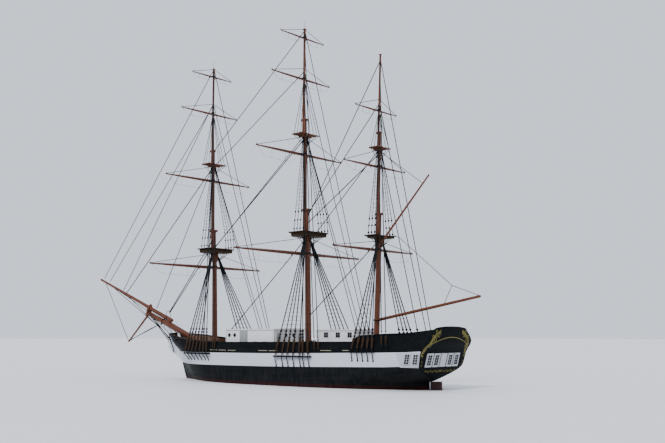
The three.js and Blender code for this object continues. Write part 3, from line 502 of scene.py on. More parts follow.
class Finish:
    """A material being built: its tree, its shader and the common inputs."""

    def __init__(self, name, rough=0.5, metal=0.0, coat=0.0, coat_rough=0.1, specular=0.3):
        self.material = bpy.data.materials.new(name)
        self.material.use_nodes = True
        self.tree = self.material.node_tree
        self.shader = self.tree.nodes["Principled BSDF"]
        for key, value in (("Roughness", rough), ("Metallic", metal), ("Coat Weight", coat),
                           ("Coat Roughness", coat_rough), ("Specular IOR Level", specular)):
            self.shader.inputs[key].default_value = value
        self.coords = put(self.tree, "ShaderNodeTexCoord").outputs
        self.at = self.coords["Object"]

    def mapped(self, scale):
        return put(self.tree, "ShaderNodeMapping", {"Vector": self.at, "Scale": scale}).outputs[0]

    def group(self, name, **inputs):
        """Outputs of one of the shared groups."""
        if name not in made_groups:
            made_groups[name] = SHADERS[name]()
        values = {key.capitalize(): value for key, value in inputs.items()}
        return put(self.tree, "ShaderNodeGroup", values, node_tree=made_groups[name]).outputs

    def weather(self):
        """Streaks, mottle and fine noise."""
        return self.group("weather", vector=self.at)[:3]

    def grain(self, squeeze):
        """Grain and figure of wood; squeeze is the scale along each axis, small along the grain."""
        return self.group("grain", vector=self.mapped(squeeze))[:2]

    def axis(self, of=None):
        return put(self.tree, "ShaderNodeSeparateXYZ", {0: of or self.at}).outputs

    def laid(self, base, *layers):
        """Colours laid over a base, each through a mask and at a strength."""
        for mask, strength, rgb in layers:
            base = mixed(self.tree, sums(self.tree, "MULTIPLY", mask, strength), base, rgb)
        return base

    def scaled(self, value, factor, add):
        return sums(self.tree, "MULTIPLY_ADD", value, factor, add)

    def dips(self, seam, other, share):
        """A height that falls in the seams, with a share of another height."""
        return self.scaled(seam, -1.0, sums(self.tree, "MULTIPLY", other, share))

    def paint(self, value=None, rough=None, bump=None, strength=0.3, depth=0.002):
        """Links colour and roughness, and a height as bump."""
        if value is not None:
            self.tree.links.new(value, self.shader.inputs["Base Color"])
        if rough is not None:
            self.tree.links.new(rough, self.shader.inputs["Roughness"])
        if bump is not None:
            node = put(self.tree, "ShaderNodeBump", {"Height": bump, "Strength": strength, "Distance": depth})
            self.tree.links.new(node.outputs[0], self.shader.inputs["Normal"])
        return self.material


def dimmed(rgb, factor):
    return tuple(c * factor for c in rgb)


def waterlines(look, z, bottom):
    """Topside paint over the boot-top over the red bottom, by height."""
    s = settings().hull
    above = spread(look.tree, z, s.boot_height - 0.004, s.boot_height + 0.004, 1, 0)
    under = spread(look.tree, bottom, -0.01, 0.02, 1, 0)
    return mixed(look.tree, under, mixed(look.tree, above, s.topside, s.boot), s.bottom)


def hull_planks():
    """Black topsides, white band, boot-top and red bottom on the hull's planks."""
    s, look = settings().hull, Finish("hull planks", 0.42, specular=HULL_SHINE)
    u, v, _ = look.axis(look.coords["UV"])
    seam, tone = look.group("planks", along=u, across=v, run=s.plank_run, seam=0.05)[:2]
    streaks, mottle, fine = look.weather()
    z = look.axis()[2]
    in_band = sums(look.tree, "MULTIPLY", sums(look.tree, "GREATER_THAN", v, float(STRAKE[BAND_LEVEL])),
                   sums(look.tree, "LESS_THAN", v, float(STRAKE[DECK_LEVEL])))
    body = mixed(look.tree, in_band, waterlines(look, z, look.scaled(mottle, 0.012, z)), s.band)
    body = look.laid(body, (streaks, 0.045, (0.16, 0.16, 0.17)), (tone, 0.03, (0.10, 0.10, 0.11)),
                     (mottle, 0.03, (0.12, 0.11, 0.10)), (seam, 0.35, (0.02, 0.02, 0.022)))
    return look.paint(body, look.scaled(fine, 0.16, 0.34), look.dips(seam, fine, 0.12), 0.5, 0.004)


def stem_paint():
    """Keel and stem: red under water, boot-top, black and, above the lower hull, white."""
    look = Finish("stem paint", 0.45, specular=HULL_SHINE)
    z = look.axis()[2]
    streaks, mottle, fine = look.weather()
    body = mixed(look.tree, spread(look.tree, z, 0.896, 0.904), waterlines(look, z, z), settings().hull.band)
    body = look.laid(body, (streaks, 0.05, (0.14, 0.13, 0.12)), (mottle, 0.04, (0.10, 0.09, 0.08)))
    return look.paint(body, look.scaled(fine, 0.2, 0.36), fine, 0.4, 0.003)


def wall_black():
    """Black paint of the bulwarks and the stern, with level plank lines."""
    s, look = settings().hull, Finish("topside black", 0.4, specular=HULL_SHINE)
    x, _, z = look.axis()
    across = sums(look.tree, "MULTIPLY", z, 6.2)
    seam, tone = look.group("planks", along=x, across=across, run=s.plank_run, seam=0.04)[:2]
    streaks, _, fine = look.weather()
    body = look.laid(s.topside, (streaks, 0.035, (0.10, 0.105, 0.115)), (tone, 0.025, (0.09, 0.095, 0.10)))
    return look.paint(body, look.scaled(fine, 0.18, 0.33), look.dips(seam, fine, 0.1), 0.4, 0.003)


def painted(name, rgb, rough=0.45, dirt=0.12, boards=0.0):
    """Brushed paint in one colour, with dirt in streaks and upright board lines if wanted."""
    look = Finish(name, rough)
    streaks, mottle, fine = look.weather()
    body, bump = look.laid(rgb, (streaks, dirt, dimmed(rgb, 0.45)), (mottle, dirt * 0.5, dimmed(rgb, 0.7))), fine
    if boards:
        x, y, z = look.axis()
        across = sums(look.tree, "MULTIPLY", sums(look.tree, "ADD", x, y), 1 / boards)
        seam = look.group("planks", along=z, across=across, run=40.0, seam=0.05)[0]
        body, bump = look.laid(body, (seam, 0.25, dimmed(rgb, 0.4))), look.dips(seam, fine, 0.15)
    return look.paint(body, look.scaled(fine, 0.2, rough - 0.1), bump, 0.25, 0.002)


def spar_wood(name, squeeze):
    """Varnished spar."""
    s, look = settings().spars, Finish(name, 0.45, coat=0.04, coat_rough=0.3, specular=0.2)
    grain, figure = look.grain(squeeze)
    body = look.laid(s.wood, (grain, 0.55, s.grain), (figure, 0.25, dimmed(s.wood, 1.7)),
                     (look.weather()[1], 0.2, dimmed(s.wood, 0.5)))
    return look.paint(body, look.scaled(grain, 0.2, 0.36), grain, 0.2, 0.0015)


def dark_timber():
    s, look = settings().spars, Finish("dark timber", 0.6, specular=0.08)
    grain, figure = look.grain((0.25, 1.0, 1.0))
    body = look.laid(s.timber, (grain, 0.7, dimmed(s.timber, 0.35)), (figure, 0.3, dimmed(s.timber, 1.6)))
    return look.paint(body, look.scaled(grain, 0.2, 0.45), grain, 0.3, 0.002)


def deck_planks():
    """Scrubbed planks fore and aft, with dark caulked seams."""
    s, look = settings().deck, Finish("deck planks", 0.7)
    x, y, _ = look.axis()
    across = sums(look.tree, "DIVIDE", y, s.plank)
    seam, tone = look.group("planks", along=x, across=across, run=2.6, seam=0.055)[:2]
    grain = look.grain((0.12, 1.0, 1.0))[0]
    body = look.laid(s.wood, (tone, 0.45, dimmed(s.wood, 0.62)), (grain, 0.35, dimmed(s.wood, 0.5)),
                     (look.weather()[1], 0.2, (0.22, 0.2, 0.17)))
    body = mixed(look.tree, seam, body, (0.012, 0.011, 0.01))
    return look.paint(body, look.scaled(tone, 0.12, 0.62), look.dips(seam, grain, 0.2), 0.5, 0.003)


def tarred_rope():
    s, look = settings().rig, Finish("tarred rope", 0.85, specular=0.1)
    lay = look.group("lay", vector=look.at, strands=34.0)[0]
    body = mixed(look.tree, lay, dimmed(s.rope, 0.45), s.rope)
    body = look.laid(body, (look.weather()[1], 0.4, dimmed(s.rope, 1.9)))
    return look.paint(body, look.scaled(lay, -0.15, 0.9), lay, 0.6, 0.003)


def black_iron():
    look = Finish("black iron", 0.5, metal=0.2, specular=0.15)
    streaks, mottle, fine = look.weather()
    body = look.laid((0.007, 0.0075, 0.009), (streaks, 0.35, (0.03, 0.017, 0.011)),
                     (mottle, 0.3, (0.015, 0.015, 0.016)))
    return look.paint(body, look.scaled(fine, 0.3, 0.38), fine, 0.25, 0.002)


def dark_glass():
    look = Finish("dark glass", 0.2, specular=0.1)
    mottle = look.weather()[1]
    body = look.laid((0.005, 0.006, 0.009), (mottle, 0.5, (0.014, 0.016, 0.022)))
    return look.paint(body, look.scaled(mottle, 0.08, 0.06))


def gilding():
    s, look = settings().deck, Finish("gilding", 0.42, metal=0.35)
    _, mottle, fine = look.weather()
    body = look.laid(s.gilt, (mottle, 0.6, dimmed(s.gilt, 0.45)))
    return look.paint(body, look.scaled(fine, 0.25, 0.32), fine, 0.4, 0.002)


def pale_floor():
    s, look = settings().stage, Finish("pale floor", 0.55)
    mottle = look.group("weather", vector=look.mapped((0.08, 0.08, 0.08)))[1]
    return look.paint(look.laid(s.floor, (mottle, 0.06, dimmed(s.floor, 0.9))))


FINISHES = {"hull": hull_planks, "black": wall_black, "stem": stem_paint, "timber": dark_timber, "deck": deck_planks,
            "rope": tarred_rope, "iron": black_iron, "glass": dark_glass, "gilt": gilding, "floor": pale_floor}
WOODS = {"mast": ("mast wood", (1.0, 1.0, 0.09)), "yard": ("yard wood", (1.0, 0.09, 1.0)),
         "head": ("head spar wood", (0.09, 1.0, 1.0))}
PAINTS = {                       # material, colour or the setting that holds it, roughness, dirt, width of its boards
    "white": ("white paint", "hull.band", 0.45, 0.10),
    "inner": ("inner brown", (0.075, 0.034, 0.015), 0.55, 0.2, 0.16),
    "house": ("house paint", "deck.house", 0.5, 0.12, 0.12),
    "roof": ("roof canvas", (0.50, 0.50, 0.48), 0.7, 0.2),
    "trim": ("house trim", (0.62, 0.62, 0.63), 0.5, 0.12),
    "maroon": ("rudder maroon", (0.030, 0.008, 0.008), 0.5, 0.2),
    "quarter": ("quarter panel", (0.43, 0.44, 0.48), 0.5, 0.1),
    # the door panels' grey is painted shade, standing in for the shade inside recessed doors
    "grey": ("grey panel", (0.30, 0.305, 0.31), 0.5, 0.12),
    "frames": ("window frames", (0.52, 0.53, 0.56), 0.5, 0.08),
    "cream": ("port lids", (0.33, 0.31, 0.22), 0.5, 0.15),
    "brass": ("brass", (0.42, 0.27, 0.09), 0.3, 0.2),
}


def material(key):
    """The material of a finish, built when it is first asked for."""
    if key not in made_materials:
        if key in PAINTS:
            name, rgb, *rest = PAINTS[key]
            if isinstance(rgb, str):
                group, field = rgb.split(".")
                rgb = getattr(getattr(settings(), group), field)
            made_materials[key] = painted(name, rgb, *rest)
        else:
            made_materials[key] = spar_wood(*WOODS[key]) if key in WOODS else FINISHES[key]()
    return made_materials[key]


# Shapes in mesh code

WELD = 1e-5                      # points closer than this are one


class Form:
    """Points and faces of a piece, gathered part by part, with a paint number for each face."""

    def __init__(self):
        self.points, self.faces, self.paints = [], [], []

    def patch(self, points, faces, paint=0):
        base = len(self.points)
        self.points += [Vector(p) for p in points]
        self.faces += [[base + i for i in face] for face in faces]
        self.paints += [paint] * len(faces)
        return self

    def rings(self, rings, paint=0, ends=True):
        """A skin over closed rings of equal length."""
        n, last = len(rings[0]), len(rings) - 1
        faces = [[r * n + i, r * n + (i + 1) % n, (r + 1) * n + (i + 1) % n, (r + 1) * n + i]
                 for r in range(last) for i in range(n)]
        if ends:
            faces += [list(range(n))[::-1], list(range(last * n, last * n + n))]
        return self.patch([p for ring in rings for p in ring], faces, paint)

    def block(self, centre, size, paint=0, tilt=0.0):
        """A block, tilted about Y."""
        spin = Euler((0, tilt, 0)).to_matrix()
        half = Vector(size) / 2
        corners = [(-1, -1), (1, -1), (1, 1), (-1, 1)]
        rings = [[Vector(centre) + spin @ Vector((half.x * a, half.y * b, half.z * c)) for a, b in corners]
                 for c in (-1, 1)]
        return self.rings(rings, paint)

    def turned(self, start, end, profile, sides=20, paint=0):
        """A turned piece from a profile of distance and radius."""
        start, end = Vector(start), Vector(end)
        along = (end - start).normalized()
        across = along.orthogonal() if max(abs(along.z), abs(along.y)) > 0.99 else Vector(OUT).cross(along)
        across.normalize()
        third = along.cross(across)
        rings = [[start + along * d + across * (r * math.cos(a)) + third * (r * math.sin(a))
                  for a in (2 * math.pi * (k + 0.5) / sides for k in range(sides))] for d, r in profile]
        return self.rings(rings, paint)

    def rod(self, a, b, radius, sides=8, paint=0, end_radius=None):
        span = (Vector(b) - Vector(a)).length
        return self.turned(a, b, [(0, radius), (span, radius if end_radius is None else end_radius)], sides, paint)

    def ring(self, centre, aim, radius, half, sides):
        """A band round a spar, at a centre and half as wide as said to each side."""
        return self.turned(centre - aim * half, centre + aim * half, [(0, radius), (2 * half, radius)], sides)

    def bun(self, centre, radius, sides, flat):
        """A ball that is flat across the ship."""
        angles = [math.pi * (k + 0.5) / 6 for k in range(6)]
        profile = [(radius * flat * (1 - math.cos(a)), radius * math.sin(a)) for a in angles]
        across = Vector(OUT) * radius * flat
        return self.turned(Vector(centre) - across, Vector(centre) + across, profile, sides)

    def pair(self, centre, size, paint=0, tilt=0.0):
        """The same block on both sides."""
        return self.block(centre, size, paint, tilt).block(flipped(centre, -1), size, paint, tilt)

    def prism(self, outline, low, high, upright=False):
        """An outline pushed from low to high; it lies level, or stands fore and aft."""
        return self.rings([[(a, c, b) if upright else (a, b, c) for a, b in outline] for c in (low, high)])

    def mesh(self, name, finishes, weld=False):
        mesh = bpy.data.meshes.new(name)
        mesh.from_pydata([tuple(p) for p in self.points], [], self.faces)
        mesh.polygons.foreach_set("material_index", self.paints)
        for finish in finishes:
            mesh.materials.append(material(finish))
        return cleaned(mesh, weld)


def lathe(low, high, profile, sides=12):
    """A small turned piece that stands on the origin, to be set out."""
    return Form().turned((0, 0, low), (0, 0, high), profile, sides)


def cleaned(mesh, weld):
    """A mesh with its faces turned outwards, and doubled points joined if wanted."""
    work = bmesh.new()
    work.from_mesh(mesh)
    if weld:
        bmesh.ops.remove_doubles(work, verts=work.verts, dist=WELD)
    bmesh.ops.recalc_face_normals(work, faces=work.faces)
    work.to_mesh(mesh)
    work.free()
    return mesh


def settle(piece):
    """Turns what a piece's modifiers make into its plain mesh."""
    evaluated = piece.evaluated_get(bpy.context.evaluated_depsgraph_get())
    mesh = bpy.data.meshes.new_from_object(evaluated)
    piece.modifiers.clear()
    old, piece.data = piece.data, mesh
    mesh.name = piece.name
    bpy.data.meshes.remove(old)
    return piece


def linked(name, data):
    """A new object in the scene."""
    thing = bpy.data.objects.new(name, data)
    bpy.context.scene.collection.objects.link(thing)
    return thing


def place(name, mesh, body="ship", replaces=(), slot=None, sharp=38, bevel=0.0):
    """Links a piece, rounds its edges if wanted, and makes it ride on its body."""
    piece = linked(name, mesh)
    if bevel:
        rounding = piece.modifiers.new("rounding", "BEVEL")
        rounding.width, rounding.segments = bevel, 2
        rounding.limit_method, rounding.angle_limit = "ANGLE", math.radians(40)
        settle(piece)
    piece.data.shade_smooth()
    piece.data.set_sharp_from_angle(angle=math.radians(sharp))
    if replaces:
        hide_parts(*replaces)
    if body:
        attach(piece, body)
    return piece


SLOTS = {                        # colour slot of a piece, by its first finish
    "black": "hull_paint", "mast": "spar_varnish", "yard": "spar_varnish", "head": "spar_varnish",
    "white": "white_paint", "frames": "white_paint", "quarter": "white_paint", "cream": "white_paint",
    "gilt": "white_paint", "timber": "dark_wood", "brass": "dark_wood", "trim": "house_paint", "rope": "tarred_rope",
    "iron": "black_iron",
}


def build(name, form, finishes, weld=False, **options):
    """A piece made of a form."""
    return place(name, form.mesh(name, finishes, weld), **{"slot": SLOTS.get(finishes[0]), **options})


# Geometry Nodes: ropes along lines, and like pieces set out on points

def real(tree, geometry, finish):
    """Instances made into real geometry, with their material."""
    done = put(tree, "GeometryNodeRealizeInstances", {0: geometry}).outputs[0]
    return put(tree, "GeometryNodeSetMaterial", {"Geometry": done, "Material": finish}).outputs[0]


def rope_tree():
    """A round rope along every polyline of the mesh."""
    sockets = {"Lines": GEOMETRY, "Radius": FLOAT, "Sides": "NodeSocketInt", "Finish": "NodeSocketMaterial"}
    tree, given, out = new_group("rope run", "GeometryNodeTree", sockets, {"Rope": GEOMETRY})
    curve = put(tree, "GeometryNodeMeshToCurve", {"Mesh": given["Lines"]}).outputs[0]
    size = {"Resolution": given["Sides"], "Radius": given["Radius"]}
    ring = put(tree, "GeometryNodeCurvePrimitiveCircle", size).outputs[0]
    tube = put(tree, "GeometryNodeCurveToMesh", {"Curve": curve, "Profile Curve": ring, "Fill Caps": True}).outputs[0]
    return give(tree, out, Rope=real(tree, tube, given["Finish"]))


def set_out_tree():
    """A like piece on every point, its Z along "aim", its X along "lead", scaled by "size"."""
    sockets = {"Points": GEOMETRY, "Piece": "NodeSocketObject", "Finish": "NodeSocketMaterial"}
    tree, given, out = new_group("set out", "GeometryNodeTree", sockets, {"Pieces": GEOMETRY})
    source = put(tree, "GeometryNodeObjectInfo", {"Object": given["Piece"]}).outputs["Geometry"]
    aim, lead, size = [put(tree, "GeometryNodeInputNamedAttribute", {"Name": name}, data_type="FLOAT_VECTOR").outputs[0]
                       for name in ("aim", "lead", "size")]
    turn = put(tree, "FunctionNodeAxesToRotation", {0: aim, 1: lead}, primary_axis="Z", secondary_axis="X").outputs[0]
    copies = put(tree, "GeometryNodeInstanceOnPoints", {"Points": given["Points"], "Instance": source, "Rotation": turn,
                                                        "Scale": size}).outputs[0]
    return give(tree, out, Pieces=real(tree, copies, given["Finish"]))


TREES = {"rope": rope_tree, "set out": set_out_tree}


def grown(name, kind, source, inputs, finish, **options):
    """A piece grown by a node tree from a source mesh, as a plain mesh on its body."""
    if kind not in made_trees:
        made_trees[kind] = TREES[kind]()
    piece = linked(name, source)
    modifier = piece.modifiers.new("build", "NODES")
    modifier.node_group = made_trees[kind]
    names = {item.name: item.identifier for item in made_trees[kind].interface.items_tree
             if item.item_type == "SOCKET" and item.in_out == "INPUT"}
    for key, value in {**inputs, "Finish": material(finish)}.items():
        modifier[names[key]] = value
    bpy.context.view_layer.update()
    mesh = settle(piece).data
    if not mesh.polygons:
        raise RuntimeError(f"{name} came out empty")
    bpy.data.objects.remove(piece)
    return place(name, mesh, **{"slot": SLOTS.get(finish), **options})


def ropes(name, lines, radius, sides=6, finish="rope", **options):
    """Ropes along polylines."""
    points, edges = [], []
    for line in lines:
        base = len(points)
        points += [tuple(p) for p in line]
        edges += [(base + k, base + k + 1) for k in range(len(line) - 1)]
    mesh = bpy.data.meshes.new(name)
    mesh.from_pydata(points, edges, [])
    return grown(name, "rope", mesh, {"Radius": radius, "Sides": sides}, finish, sharp=80, **options)


def set_out(name, form, places, finish, **options):
    """Copies of a form on places of (point, aim, lead, size)."""
    template = linked(name + "_shape", form.mesh(name + "_shape", [finish]))
    mesh = bpy.data.meshes.new(name)
    mesh.from_pydata([tuple(p[0]) for p in places], [], [])
    for key, index in (("aim", 1), ("lead", 2), ("size", 3)):
        values = []
        for row in places:
            value = row[index] if len(row) > index else (1, 1, 1)
            values += list(value) if hasattr(value, "__len__") else [value] * 3
        mesh.attributes.new(key, "FLOAT_VECTOR", "POINT").data.foreach_set("vector", values)
    piece = grown(name, "set out", mesh, {"Piece": template}, finish, **options)
    bpy.data.objects.remove(template)
    return piece


# Hull

def eased(values, k, s):
    """Monotone cubic between values k and k + 1."""
    steps = [b - a for a, b in zip(values, values[1:])]

    def slope(i):
        if i == 0 or i == len(steps):
            return steps[min(i, len(steps) - 1)]
        a, b = steps[i - 1], steps[i]
        return 0.0 if a * b <= 0 else 2 * a * b / (a + b)

    return (values[k] * (1 - s) ** 2 * (1 + 2 * s) + values[k + 1] * s ** 2 * (3 - 2 * s)
            + s * (1 - s) * (slope(k) * (1 - s) - slope(k + 1) * s))


def skin_row(t, first, last, per_level):
    """Points of the outer skin at a station, from one level to another, each with its strake number."""
    knots = [side(level, t) for level in range(len(LEVELS))]
    row = []
    for k in range(first, last):
        n = per_level[k]
        row += [(Vector([eased([p[c] for p in knots], k, i / n) for c in range(3)]),
                 STRAKE[k] + (STRAKE[k + 1] - STRAKE[k]) * i / n) for i in range(n)]
    return row + [(knots[last], STRAKE[last])]


def stations(count, first=0.0, last=1.0):
    """Stations that lie closer together towards both ends."""
    return [first + (last - first) * (0.5 - 0.5 * math.cos(math.pi * k / count)) * 0.55
            + (last - first) * k / count * 0.45 for k in range(count + 1)]


def build_hull():
    """The planked hull up to the deck's edge, its ends closed by sheets of which the stern's bulges aft."""
    form, columns = Form(), 16
    rows = [skin_row(t, 0, DECK_LEVEL, PER_LEVEL) for t in stations(110)]
    rings = [[p for p, _ in row][::-1] + [flipped(p, -1) for p, _ in row] for row in rows]
    marks = [[v for _, v in row][::-1] + [v for _, v in row] for row in rows]
    form.rings(rings, 0, ends=False)
    uv = [(p.x, v) for ring, mark in zip(rings, marks) for p, v in zip(ring, mark)]
    n = columns + 1
    for row in (rows[0], rows[-1]):
        sheet = []
        for p, v in row:
            bulge = CAMBER if row is rows[0] and p.z > STERN_FOOT else 0
            shares = [2 * c / columns - 1 for c in range(n)]
            sheet += [Vector((p.x - bulge * (1 - s ** 2), -p.y * s, p.z)) for s in shares]
            uv += [(p.x, v)] * n
        form.patch(sheet, [[r * n + c, r * n + c + 1, (r + 1) * n + c + 1, (r + 1) * n + c]
                           for r in range(len(row) - 1) for c in range(columns)], 1)
    mesh = form.mesh("planked_hull", ["hull", "black"])
    layer = mesh.uv_layers.new(name="strakes")
    layer.data.foreach_set("uv", [c for loop in mesh.loops for c in uv[loop.vertex_index]])
    place("planked_hull", cleaned(mesh, True), replaces=("hull",), slot="hull_paint", sharp=28)


def finish(name, *nodes):
    """Gives carried-over CAD nodes a material."""
    for node in nodes:
        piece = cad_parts[node]
        piece.data.materials.clear()
        piece.data.materials.append(material(name))


def build_bulwarks():
    """Both bulwarks with their cap rails, and the stern's wall."""
    places = stations(100, 0.005, 1.0)
    lip, thick = 0.03, 0.055
    for name, sign in SIDES:
        form, rail, rings = Form(), Form(), []
        for t in places:
            outer = [p for p, _ in skin_row(t, DECK_LEVEL, RAIL_LEVEL, PER_LEVEL)]
            inner = []
            for k, p in enumerate(outer):
                level = min(RAIL_LEVEL, round(DECK_LEVEL + 2 * k / (len(outer) - 1)))
                shift = inboard(level, t, WALL) - side(level, t)
                inner.append(p + Vector((shift.x, shift.y, 0)))
            rings.append([flipped(p, sign) for p in outer + inner[::-1]])
        form.rings(rings)
        n = len(rings[0])
        for index in range((len(rings) - 1) * n):
            form.paints[index] = int(n // 2 <= index % n < n - 1)
        build(f"{name}_bulwark_planks", form, ["black", "inner"], replaces=(f"{name}_bulwark",), sharp=30)
        edge = ((-lip, -thick), (-lip - 0.008, -thick / 2), (-lip, 0), (WALL + lip, 0), (WALL + lip, -thick))
        rail.rings([[flipped(inboard(RAIL_LEVEL, t, *spot), sign) for spot in edge] for t in places])
        build(f"{name}_cap_rail", rail, ["black"])
    build_stern_wall()


def stern_outline():
    """Half-breadth and height of the stern wall's edge, from the deck up to the middle of its top."""
    rows = [(p.y, p.z) for p, _ in skin_row(0, DECK_LEVEL, RAIL_LEVEL, PER_LEVEL)]
    y, z = rows[-1]
    return rows + [(y * math.cos(a), z + 0.115 * math.sin(a)) for a in (math.radians(9 * k) for k in range(1, 10))]


def build_stern_wall():
    """The stern's wall and the moulding round its edge."""
    form, columns, rings = Form(), 20, []
    for y, z in stern_outline():
        base = stern_face(0, min(z, STERN_TOP)).x + CAMBER
        line = [(base - CAMBER * (1 - s * s), y * s) for s in (1 - 2 * c / columns for c in range(columns + 1))]
        rings.append([(x, v, z) for x, v in line] + [(x + 0.088, v, z) for x, v in reversed(line)])
    build("stern_wall", form.rings(rings), ["black"], replaces=("taffrail",), sharp=30)
    edge = [(stern_face(y, min(z, STERN_TOP)).x + 0.02, y, z) for y, z in stern_outline()]
    line = edge + [(x, -y, z) for x, y, z in reversed(edge)]
    ropes("stern_moulding", [line], 0.026, finish="black", sides=10)


# Windows and other flat work that follows a surface

def spot(quad, u, v):
    a, b, c, d = quad
    return (a * (1 - u) + b * u) * (1 - v) + (d * (1 - u) + c * u) * v


def strip(form, quad, across, up, low, high, paint=0):
    """A flat strip over part of a quad, between two heights above it."""
    normal = (quad[1] - quad[0]).cross(quad[3] - quad[0]).normalized()
    corners = [(across[0], up[0]), (across[1], up[0]), (across[1], up[1]), (across[0], up[1])]
    form.rings([[spot(quad, u, v) + normal * rise for u, v in corners] for rise in (low, high)], paint)


def facing(quad, sign):
    """A quad of one side, or the same turned over for the other side."""
    return quad if sign > 0 else [quad[1], quad[0], quad[3], quad[2]]


def window(form, quad, columns, rows, border, bar, deep=0.02):
    """A framed window with glazing bars over a quad; border and bar are in metres."""
    wide, tall = (quad[1] - quad[0]).length, (quad[3] - quad[0]).length
    bu, bv, hu, hv = border / wide, border / tall, bar / 2 / wide, bar / 2 / tall
    strip(form, quad, (bu * 0.8, 1 - bu * 0.8), (bv * 0.8, 1 - bv * 0.8), -0.01, deep * 0.4, 1)
    for across, up in (((0, bu), (0, 1)), ((1 - bu, 1), (0, 1)), ((bu, 1 - bu), (0, bv)), ((bu, 1 - bu), (1 - bv, 1))):
        strip(form, quad, across, up, -0.01, deep)
    for u in (bu + (1 - 2 * bu) * k / columns for k in range(1, columns)):
        strip(form, quad, (u - hu, u + hu), (bv, 1 - bv), -0.01, deep * 0.75)
    for v in (bv + (1 - 2 * bv) * k / rows for k in range(1, rows)):
        strip(form, quad, (bu, 1 - bu), (v - hv, v + hv), -0.01, deep * 0.75)


def side_quad(x, z, wide, tall, lean, sign):
    """A quad on the hull's side; its top leans aft."""
    spots = [on_side(x + a * wide / 2 - b * lean / 2, z + b * tall / 2, 0.03) for a, b in CORNERS]
    return facing([flipped(p, sign) for p in spots], sign)


def build_stern():
    """Windows of the stern and the quarters, freeing ports and scroll ornament."""
    lights, quarter, panels, ports = Form(), Form(), Form(), Form()
    for k in range(5):
        y = 0.045 + 0.525 * (2 - k)
        quad = [stern_face(y + a * 0.222, z, 0.012) for a, z in ((1, 1.06), (-1, 1.06), (-1, 1.655), (1, 1.655))]
        if k == 2:
            strip(lights, quad, (0, 1), (0, 1), -0.02, 0.02)
            strip(lights, quad, (0.1, 0.9), (0.08, 0.92), 0.0, 0.026)
        else:
            window(lights, quad, 2, 4, 0.076, 0.009, 0.026)
    build("stern_windows", lights, ["frames", "glass"])
    heights = (0, 0.25, 0.5, 0.75, 1)
    for sign in (1, -1):
        for x in (-0.06, -0.52):
            window(quarter, side_quad(x, 1.395, 0.27, 0.44, 0.12, sign), 2, 4, 0.012, 0.012, 0.03)
        rows = []
        for u in (k / 8 for k in range(9)):
            low, high = 0.36 - 0.96 * u, 0.56 - 1.32 * u
            rows.append([flipped(on_side(low + (high - low) * v, 1.035 + 0.63 * v, out), sign)
                         for out, line in ((-0.01, heights), (0.008, heights[::-1])) for v in line])
        panels.rings(rows)
    build("quarter_panels", panels, ["quarter"])
    build("quarter_windows", quarter, ["frames", "glass"])
    for first, last, z in FREEING_PORTS:
        for sign in (1, -1):
            quad = [flipped(on_side(first if a > 0 else last, z + 0.011 * b), sign) for a, b in CORNERS]
            strip(ports, facing(quad, sign), (0, 1), (0, 1), -0.01, 0.012)
    build("freeing_ports", ports, ["cream"])
    build_scrolls()


def spiral(centre, radius, start, turns, ends=0.25, count=16):
    """Points of a flat spiral as half-breadth and height, from its mouth inwards."""
    steps = [k / (count - 1) for k in range(count)]
    polar = [(radius * (1 - (1 - ends) * s), start + 2 * math.pi * turns * s) for s in steps]
    return [(centre[0] + r * math.cos(a), centre[1] + r * math.sin(a)) for r, a in polar]


